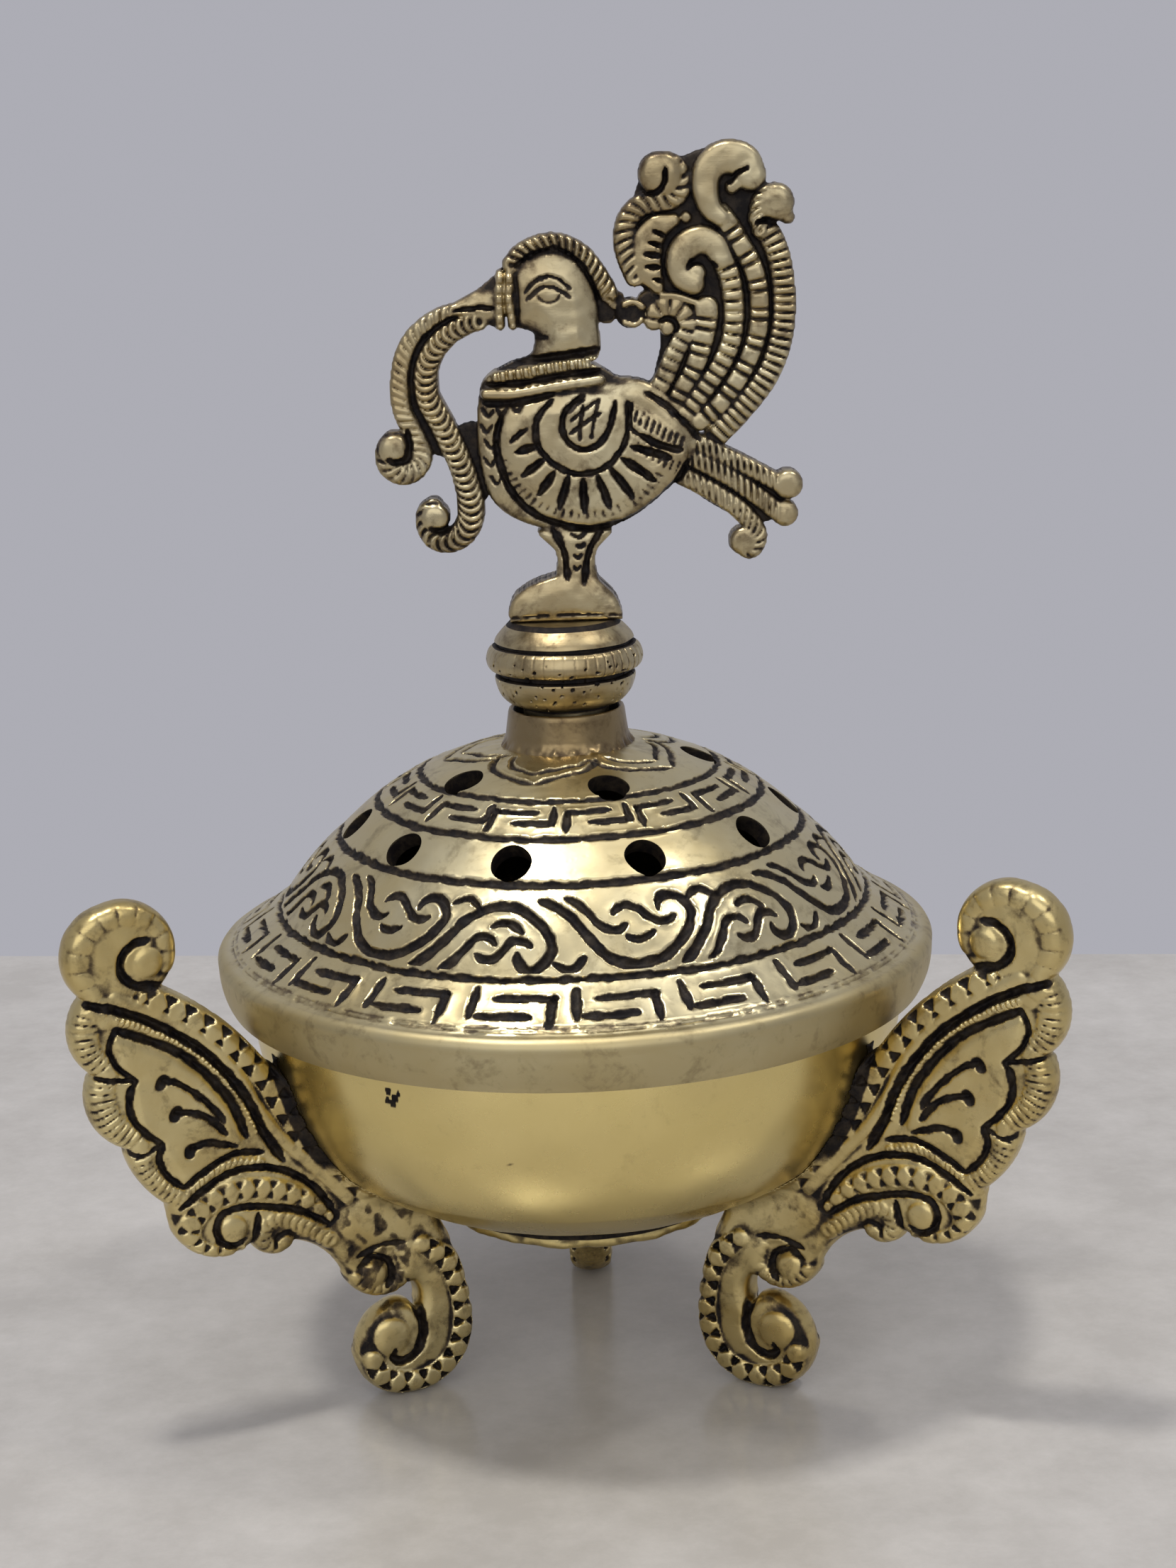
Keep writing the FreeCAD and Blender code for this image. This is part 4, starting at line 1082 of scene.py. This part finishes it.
def outer_key_band():
    r, stretch, stroke, circle = round_band(43.5, 8.3, 18.8)
    bars = dict(smooth=False, ragged=0.09)
    starts = [-161, -143.5, -125, -107, -89.5, -72, -52.5, -33] + list(np.linspace(-33, 199, 14)[1:-1])
    for start in starts:
        start += rng.uniform(-0.3, 0.3)
        sway = rng.uniform(-0.12, 0.12, 6)
        lift = 14.1 + sway[5]
        stroke([(start + sway[0], 15.3), (start + sway[1] * 3, 10.9)], 1.0, 0.5, ends=(0.75, 0.6), **bars)
        stroke([(start + 0.9, 11.2 + sway[2]), (start + 9.4, 11.3 + sway[3])], 0.95, 0.5,
               ends=(0.5, 0.8), **bars)
        stroke([(start + 3.0, 13.9 + sway[4]), (start + 13.4, lift)], 0.95, 0.5, ends=(0.2, 0.8), **bars)
        stroke([(start + 13.2, lift), (start + 13.0 + sway[0] * 4, 9.8)], 1.0, 0.5, ends=(0.9, 0.15), **bars)
    for up, width, depth, stain in ((16.95, 1.15, 0.42, 0.75), (9.05, 0.4, 0.14, 0.2),
                                    (9.6, 0.34, 0.12, 0.3)):
        circle(up, width, depth, waves=7, stain=stain, ragged=0.11)
    return r, stretch


# two leaves of the scroll, (angle, up) and width; seven such pairs go round
SCROLL = (
    ([(-148.6, 27.6), (-145.5, 27), (-141.8, 25.3), (-139.1, 23), (-135.9, 20.3), (-132.7, 19),
      (-129.1, 18.6), (-125, 19.1), (-121.8, 20.3), (-119.1, 21.8), (-117.3, 23.5), (-116.6, 24.8),
      (-117.5, 26.3), (-119.5, 27.2), (-121.6, 27.2), (-123.2, 26.5), (-123.5, 25.5)], 1.15),
    ([(-143, 27.9), (-140.7, 27.4), (-138.6, 26.1), (-136.8, 24.5), (-134.5, 23.5), (-132.3, 23.2),
      (-130.7, 23.9)], 0.95),
    ([(-133.2, 25.3), (-132.3, 26.1), (-130, 26.6), (-127.7, 25.9), (-125.9, 24.8), (-123.9, 23.9),
      (-121.8, 23.9), (-120.4, 24.4)], 0.95),
    ([(-131.3, 22.4), (-130, 21.9), (-128, 21.9), (-125.7, 22.6)], 0.9),
    ([(-121.6, 17.8), (-118.6, 19.2), (-116.4, 20.8), (-114.1, 22.5), (-112.3, 24.2), (-110, 25.5),
      (-107.3, 26.4), (-103.6, 26.8), (-100, 26.2), (-96.8, 24.8), (-94.5, 23), (-93.7, 21.2),
      (-94.8, 19.5), (-96.8, 18.4), (-98.6, 18.5), (-100, 19.5), (-100.2, 20.5)], 1.15),
    ([(-115.5, 17.8), (-113.6, 18.8), (-111.8, 20.2), (-110, 22), (-108.2, 22.6), (-106.4, 22.4),
      (-105, 21.5)], 0.95),
    ([(-108.4, 20.2), (-106.8, 19.6), (-104.5, 19.8), (-103, 21), (-101.4, 22.1), (-99.1, 22.1),
      (-97.7, 21.4)], 1),
    ([(-106.4, 23.9), (-104.5, 24.5), (-102.3, 24.4), (-99.8, 23.1)], 0.95),
    ([(-116.8, 26.4), (-115, 27.2), (-112.7, 27.4), (-110, 26.1)], 0.85),
    ([(-93.4, 19.2), (-91.4, 18.3), (-89.5, 18.4), (-87.5, 19.8)], 0.85),
)


def scroll_band():
    r, stretch, stroke, circle = round_band(36.0, 17.6, 31.6)
    for repeat in range(7):
        for line, width in SCROLL:
            turn = 360 / 7 * repeat + rng.uniform(-0.4, 0.4)
            lift = rng.uniform(-0.1, 0.1)
            stroke([(angle + turn, up + lift) for angle, up in line], width, 0.55,
                   ends=(0.25, 0.45), ragged=0.07)
    circle(29.85, 1.2, sway=0.07, waves=9)
    return r, stretch


def upper_key_band():
    r, stretch, stroke, circle = round_band(22.5, 35.0, 45.0)
    bars = dict(smooth=False, ragged=0.08)
    starts = [-137.5, -115, -90.5, -66.5, -43] + list(np.linspace(-43, 222.5, 12)[1:-1])
    for start in starts:
        start += rng.uniform(-0.5, 0.5)
        sway = rng.uniform(-0.12, 0.12, 4)
        stroke([(start, 41.2), (start + sway[0] * 6, 37.6)], 0.9, 0.45, ends=(0.9, 0.2), **bars)
        stroke([(start, 41.2 + sway[1]), (start + 14.6, 41.2 + sway[2])], 0.85, 0.45, ends=(0.9, 0.4), **bars)
        stroke([(start + 6.4, 39.2 + sway[3]), (start + 19.0, 39.3 + sway[1])], 0.85, 0.45,
               ends=(0.2, 0.8), **bars)
        stroke([(start + 19.6, 39.2), (start + 19.9, 42.1)], 0.9, 0.45, ends=(0.9, 0.6), **bars)
    circle(36.65, 1.15)
    circle(43.4, 1.0)
    return r, stretch


# one petal's outline and its inner line, (angle, up) and width; five petals go round
PETAL = (
    ([(-147, 53.2), (-141.5, 51.4), (-136, 49.9), (-127.5, 48.9), (-117, 48), (-106, 47)], 0.85),
    ([(-104.8, 47.1), (-99, 48.3), (-90.5, 49.3), (-80.5, 50.4), (-73, 51.9), (-68.5, 53.6)], 0.85),
    ([(-134, 53.6), (-127, 51.4), (-118.5, 50.3), (-107.5, 49.4)], 0.75),
    ([(-106.3, 49.6), (-99.5, 50.7), (-90.5, 51.4), (-82, 52), (-76.5, 53.2)], 0.75),
)


def petal_band():
    r, stretch, stroke, _ = round_band(13.0, 44.5, 55.2)
    for repeat in range(5):
        turn = 72 * repeat + rng.uniform(-1.5, 1.5)
        for line, width in PETAL:
            stroke([(angle + turn, up) for angle, up in line], width, 0.4, ends=(0.5, 0.3),
                   ragged=0.09, stain=0.4)
    return r, stretch


def vent_holes():
    holes = []
    for radius, height, lean, azimuths in VENTS:
        for azimuth in azimuths:
            t, out = math.radians(azimuth), math.radians(lean)
            axis = Vector((math.sin(out) * math.cos(t), math.sin(out) * math.sin(t), math.cos(out)))
            centre = Vector((radius * math.cos(t), radius * math.sin(t), height))
            holes.append((centre, axis, VENT_R, VENT_REACH, VENT_WOBBLE))
    return holes


def make_lid():
    bands = [outer_key_band(), scroll_band(), upper_key_band(), petal_band()]
    shades = [r.hollows(0.8, 0.35) for r, _ in bands]

    def engraving(angle, up):
        """Height of the engraved skin and its patina."""
        cut = shade = 0.0
        for (r, stretch), values in zip(bands, shades):
            inside = (up > r.low[1] + 0.3) & (up < r.low[1] + r.step * (r.x.shape[1] - 3))
            cut = cut + r.sample(r.top, angle * stretch, up) * inside
            shade = np.maximum(shade, r.sample(values, angle * stretch, up) * inside)
        return cut, shade

    fine, count = ((0.21, 1300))
    top = LID_UP[-1]
    up = np.concatenate([np.arange(0, SKIRT_UP, 0.4), np.arange(SKIRT_UP, top, fine), [top]])
    skin = skin_point(up)
    bore = resample([(STUD_BORE, LID_HIGH[2]), (STUD_BORE, INNER_CROWN[1]), INNER_CROWN], 1.2)
    lip = resample([INNER_BAND, INNER_LIP, (INNER_LIP[0], LID_LOW[2]), (LID_SIDE[0][0], LID_LOW[2])], 1.2)
    under = [arc3(INNER_CROWN, (19.3, 81.2), INNER_LEDGE, 24)[:-1],
             arc3(INNER_LEDGE, (33.7, 69.9), INNER_BAND, 14)[:-1]]
    section = np.vstack([skin, bore[:-1], *under, lip[:-1]])
    angles, _, _ = round_grid(section, count)
    grid_angle, grid_up = np.meshgrid(angles, up)
    push = np.zeros((len(section), count))
    push[:len(up)] = engraving(grid_angle, grid_up)[0] + waviness(grid_angle, grid_up, 0.022, 5)
    push[0] = 0
    verts, faces = turned(section, angles, push)
    obj = new_mesh("lid_shell", verts, faces, "lid", LID_BRASS, ("lid",))
    holes = vent_holes()
    thin_out(obj, LID_TRIANGLES)
    drill(obj, holes)
    obj.data.set_sharp_from_angle(angle=math.radians(48))

    # the bored mesh has new points, so the patina is looked up again for each of them
    p = mesh_points(obj)
    radius = np.hypot(p[:, 0], p[:, 1])
    angle = np.degrees(np.arctan2(p[:, 1], p[:, 0]))
    angle = np.where(angle > SEAM + 360, angle - 360, angle)
    up = np.interp(tilt(radius, p[:, 2]), tilt(LID_MARKS[:, 0], LID_MARKS[:, 1]), LID_UP)
    skin = skin_point(up)
    depth = np.hypot(skin[:, 0], skin[:, 1] - LID_EYE) - np.hypot(radius, p[:, 2] - LID_EYE)
    _, shade = engraving(angle, up)
    # painted shade: the lid's inside, more than 0.75 mm under the skin, and the walls of the vent bores are
    # made black
    inner_shade = np.clip((depth - 0.75) / 0.3, 0, 1) * (up > 7.5)
    for centre, axis, size, _, _ in holes:
        away = p - np.array(centre)
        along = away @ np.array(axis)
        aside = np.sqrt(np.maximum((away ** 2).sum(1) - along ** 2, 0))
        inner_shade = np.maximum(inner_shade, (aside < size + 0.15) * np.clip((depth - 0.08) / 0.15, 0, 1))
    # the plain edge band is brushed and rougher, and its colour is darkened as painted shade
    skirt = np.clip((SKIRT_UP + 0.4 - up) / 0.6, 0, 1) * (depth < 0.5)
    set_masks(obj, {"hollow": np.maximum(shade, inner_shade), "satin_and_shade": skirt})


# ---------------------------------------------------------------- bowl
FOOT_OUT, FOOT_TOP = (16.2, 22.6), (19.3, 24.4)         # inner and upper ends of the foot ring
RECESS_Z, FLOOR_Z = 24.4, 26.6                          # under and upper faces of the bowl's floor
REBATE_R, REBATE_Z = 42.0, 49.2                         # step in the rim for the lid's ring
WELL_TOP, WELL_BEND, WELL_FLOOR = (41.1, REBATE_Z), (33.6, 34.6), (17.0, 26.9)
# casting pits: azimuth, height, radius
PITS = ((-122.4, 51.7, 0.42), (-121.2, 50.9, 0.5), (-122.7, 50.4, 0.36), (-121.7, 50.1, 0.42),
        (-120.4, 51.6, 0.28), (-102.4, 43.0, 0.3))


def make_bowl():
    side = bowl_profile()[::-1]
    foot = smooth_line([FOOT_OUT, (17.0, 22.35), (18.6, 22.3), (19.3, 22.5), (19.6, 23.2),
                        (19.5, 24.0), FOOT_TOP], 0.25)
    neck = resample([FOOT_TOP, (19.0, 24.8), (19.6, 25.2), (20.6, 25.4)], 0.3)[1:-1]
    under = np.vstack([resample([(0, RECESS_Z), (15.7, RECESS_Z), FOOT_OUT], 0.8)[:-1], foot, neck])
    rim = resample([(44.0, RIM_Z), (REBATE_R, RIM_Z), (REBATE_R, REBATE_Z), WELL_TOP], 0.8)[1:-1]
    well = np.vstack([arc3(WELL_TOP, (39.3, 42.2), WELL_BEND, 30)[:-1],
                      arc3(WELL_BEND, (27.0, 29.8), WELL_FLOOR, 26)[:-1],
                      resample([WELL_FLOOR, (0, FLOOR_Z)], 1.2)])
    section = np.vstack([under, side, rim, well])
    # a point each degree, and more of them across the pits
    angles = np.sort(np.concatenate([np.arange(SEAM, SEAM + 360, 1.0), np.arange(-124.9, -119, 0.2)]))
    grid_angle, height = np.meshgrid(angles, section[:, 1])
    rows = np.arange(len(section))
    skin = ((rows >= len(under)) & (rows < len(under) + len(side)))[:, None]
    ring = ((rows < len(under)) & (section[:, 0] > 16.0))[:, None]
    rough = waviness(grid_angle * 0.6, height * 2, 0.07, 9) + waviness(grid_angle * 2, height * 3, 0.03, 10)
    push = waviness(grid_angle, height, 0.03, 8) * skin + rough * ring
    neck_line = (height > 23.8) & (section[:, :1] < 20.4) & ring
    shade = np.maximum(np.clip(-3 * rough, 0.12, 0.3) * ring, neck_line * 1.0)
    for angle, at, size in PITS:
        across = (grid_angle - angle) * math.radians(39)
        u = np.clip(1 - (across ** 2 + (height - at) ** 2) / size ** 2, 0, 1) * skin
        push -= 0.8 * size * u
        shade = np.maximum(shade, np.clip(3 * u, 0, 1))
    new_turning("bowl_shell", section, angles, push, shade, "base", BOWL_BRASS, "bowl",
                crease=48)


# ---------------------------------------------------------------- collar and knob
def make_collar():
    foot, top = COLLAR_LOW[2], COLLAR_HIGH[2]
    outside = resample([(8.9, foot - 0.15), (8.5, foot + 0.5), (8.2, foot + 1.2), (7.75, top - 0.5),
                        (7.6, top - 0.1), (7.35, top)], 0.3)[:-1]
    bore = resample([(7.35, top), (6.95, top - 0.25), (6.7, top - 1.5), (STUD_BORE, top - 1.5),
                     (STUD_BORE, foot - 0.15)], 0.4)
    section = np.vstack([outside, bore])
    angles, grid_angle, height = round_grid(section, 400)
    skin = (np.arange(len(section)) < len(outside))[:, None]
    braze = np.clip((foot + 1.3 - height) / 1.3, 0, 1) * skin
    lumps = waviness(grid_angle * 0.8, height * 2, 0.2, 21) + waviness(grid_angle * 1.7, height * 3, 0.06, 22)
    push = braze * lumps + waviness(0.35 * grid_angle, height, 0.03, 23) * skin
    push[0] = 0
    shade = np.where(skin, braze * np.clip(0.14 - 0.5 * lumps, 0, 0.4), 0.9 * (section[:, :1] < 7.1))
    new_turning("collar_ring", section, angles, push, shade, "lid", SHADED_COLLAR_BRASS,
                "lid_collar")


def make_knob():
    low, top = KNOB_LOW[2], KNOB_HIGH[2]
    cup_lip, ring_low, ring_top, dome_low = (9.1, 96.15), (9.2, 96.8), (9.4, 100.1), (9.2, 100.65)
    cup = smooth_line([(5.7, 91.9), (6.7, 92.1), (7.8, 92.7), (8.7, 93.7), (9.2, 94.9), (9.35, 95.8),
                       cup_lip], 0.2)
    gutter = resample([cup_lip, (8.65, 96.25), (8.6, 96.65), ring_low], 0.15)[1:]
    ring = smooth_line([ring_low, (9.95, 97.1), (10.3, 97.8), (10.3, 98.6), (9.95, 99.6), ring_top], 0.15)[1:]
    waist = resample([ring_top, (8.8, 100.15), (8.75, 100.5), dome_low], 0.15)[1:]
    dome = smooth_line([dome_low, (8.95, 101.2), (8.3, 102.0), (7.5, 102.8), (7.0, top)], 0.2)[1:]
    core = resample([(7.0, top), (STUD_BORE, top), (STUD_BORE, low), (5.7, low), (5.7, 91.9)], 0.5)[1:-1]
    section = np.vstack([cup, gutter, ring, waist, dome, core])
    angles, grid_angle, height = round_grid(section, 540)
    inner = (np.arange(len(section)) >= len(section) - len(core))[:, None]
    wave = waviness(0.35 * grid_angle, height, 0.06, 31)
    # notches round the ring, strongest on the front right
    count, width = 46, 1.1
    away = np.abs(((grid_angle + 12 * wave) * count / 360) % 1 - 0.5) * 360 / count
    notch = np.clip(1 - away / width, 0, 1) * ((height > 97.0) & (height < 100.0) & ~inner)
    notch = notch * (0.2 + 0.8 * np.exp(-((grid_angle + 38) / 24) ** 2))
    pits = waviness(grid_angle * 1.5, height * 8, 1.0, 33) + waviness(grid_angle * 2.2, height * 11, 1.0, 34)
    pits = np.clip((pits - 1.7) / 0.5, 0, 1) * ((height > 92.3) & (height < 99.0) & ~inner)
    push = np.where(inner, 0, 0.8 * wave) - 0.22 * notch - 0.3 * pits
    in_groove = (np.abs(height - 96.45) < 0.4) | (np.abs(height - 100.35) < 0.3)
    in_groove = in_groove | (height < 92.1) | (height > 102.7)
    shade = np.maximum(np.maximum(0.4 * notch, 0.7 * pits), in_groove & ~inner)
    new_turning("knob_turning", section, angles, push, shade, "lid", FINIAL_BRASS,
                "finial_knob")


# ---------------------------------------------------------------- pieces
def dress(material, *nodes):
    """Give pieces that are shown just as designed their material."""
    for obj in bpy.data.objects:
        if obj.get("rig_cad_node") in nodes:
            for slot in obj.material_slots:
                slot.material = material


make_peacock()
make_knob()
make_collar()
make_lid()
make_bowl()
make_legs()
dress(FASTENER_BRASS, "leg_screw_front_left", "leg_screw_front_right", "leg_screw_rear",
      "finial_stud", "finial_washer", "finial_nut")
dress(LID_BRASS, "lid_locating_ring")


# ---------------------------------------------------------------- studio
CAMERA_AT = (2.5, -359.2, 168.4)
CAMERA_PITCH = 13.72
CAMERA_ROLL = 2.06
LENS_OVER_HEIGHT = 3900 / 2212
FLOOR_DEPTH = 0.183                     # from the axis back to the floor's far edge, m
EDGE_SLANT = 0.115                      # that edge is nearer on the right
FLOOR_REACH = 3.0                       # how far the floor goes to the other sides, m


def make_camera():
    data = bpy.data.cameras.new("camera")
    data.sensor_fit = "VERTICAL"
    data.sensor_height = 36.0
    data.lens = LENS_OVER_HEIGHT * data.sensor_height
    data.clip_start, data.clip_end = 0.01, 20.0
    camera = bpy.data.objects.new("camera", data)
    pitch = Matrix.Rotation(math.radians(90 - CAMERA_PITCH), 4, "X")
    roll = Matrix.Rotation(math.radians(-CAMERA_ROLL), 4, "Z")
    camera.matrix_world = Matrix.Translation(Vector(CAMERA_AT) * MM) @ (pitch @ roll)
    bpy.context.scene.collection.objects.link(camera)
    bpy.context.scene.camera = camera


def make_floor():
    """A pale, faintly mottled stone shelf; behind its far edge is the plain grey of the studio."""
    s = Shader("floor")
    mottle = s.ramp(s.noise(32.0, 10.0, 0.74), 0.40, 0.66)
    s.join(s.mix(mottle, (0.45, 0.43, 0.40), (0.56, 0.54, 0.51)), s.out, "Base Color")
    s.out.inputs["Roughness"].default_value = 0.22
    near_edge = [(x, -FLOOR_REACH, 0.0) for x in (-FLOOR_REACH, FLOOR_REACH)]
    far_edge = [(x, FLOOR_DEPTH - EDGE_SLANT * x, 0.0) for x in (FLOOR_REACH, -FLOOR_REACH)]
    mesh = bpy.data.meshes.new("floor")
    mesh.from_pydata(near_edge + far_edge, [], [(0, 1, 2, 3)])
    mesh.materials.append(s.mat)
    floor = bpy.data.objects.new("floor", mesh)
    bpy.context.scene.collection.objects.link(floor)


def area_light(name, at, towards, size, power, colour=(1, 1, 1)):
    data = bpy.data.lights.new(name, "AREA")
    data.shape = "RECTANGLE"
    data.size, data.size_y = size
    data.energy = power
    data.color = colour
    light = bpy.data.objects.new(name, data)
    turn = (Vector(towards) - Vector(at)).to_track_quat("-Z", "Y").to_matrix().to_4x4()
    light.matrix_world = Matrix.Translation(Vector(at)) @ turn
    bpy.context.scene.collection.objects.link(light)


def make_light():
    world = bpy.data.worlds.new("studio")
    world.use_nodes = True
    background = world.node_tree.nodes["Background"]
    background.inputs["Color"].default_value = (0.905, 0.905, 1.0, 1)
    background.inputs["Strength"].default_value = 0.46
    bpy.context.scene.world = world
    bpy.context.scene.view_settings.view_transform = "Standard"
    warm = (1, 0.97, 0.93)
    area_light("lamp", (-0.16, -0.12, 0.90), (0, 0, 0.05), (0.085, 0.085), 3.1, warm)
    area_light("lamp_right", (0.42, -0.10, 0.80), (0, 0, 0.05), (0.075, 0.075), 1.1, warm)
    area_light("ceiling", (0.0, -0.15, 1.25), (0, 0, 0), (1.1, 0.9), 1.5)
    area_light("window_front", (-0.10, -1.0, 0.60), (0, 0, 0.08), (1.5, 0.8), 4.2)


make_camera()
make_floor()
make_light()
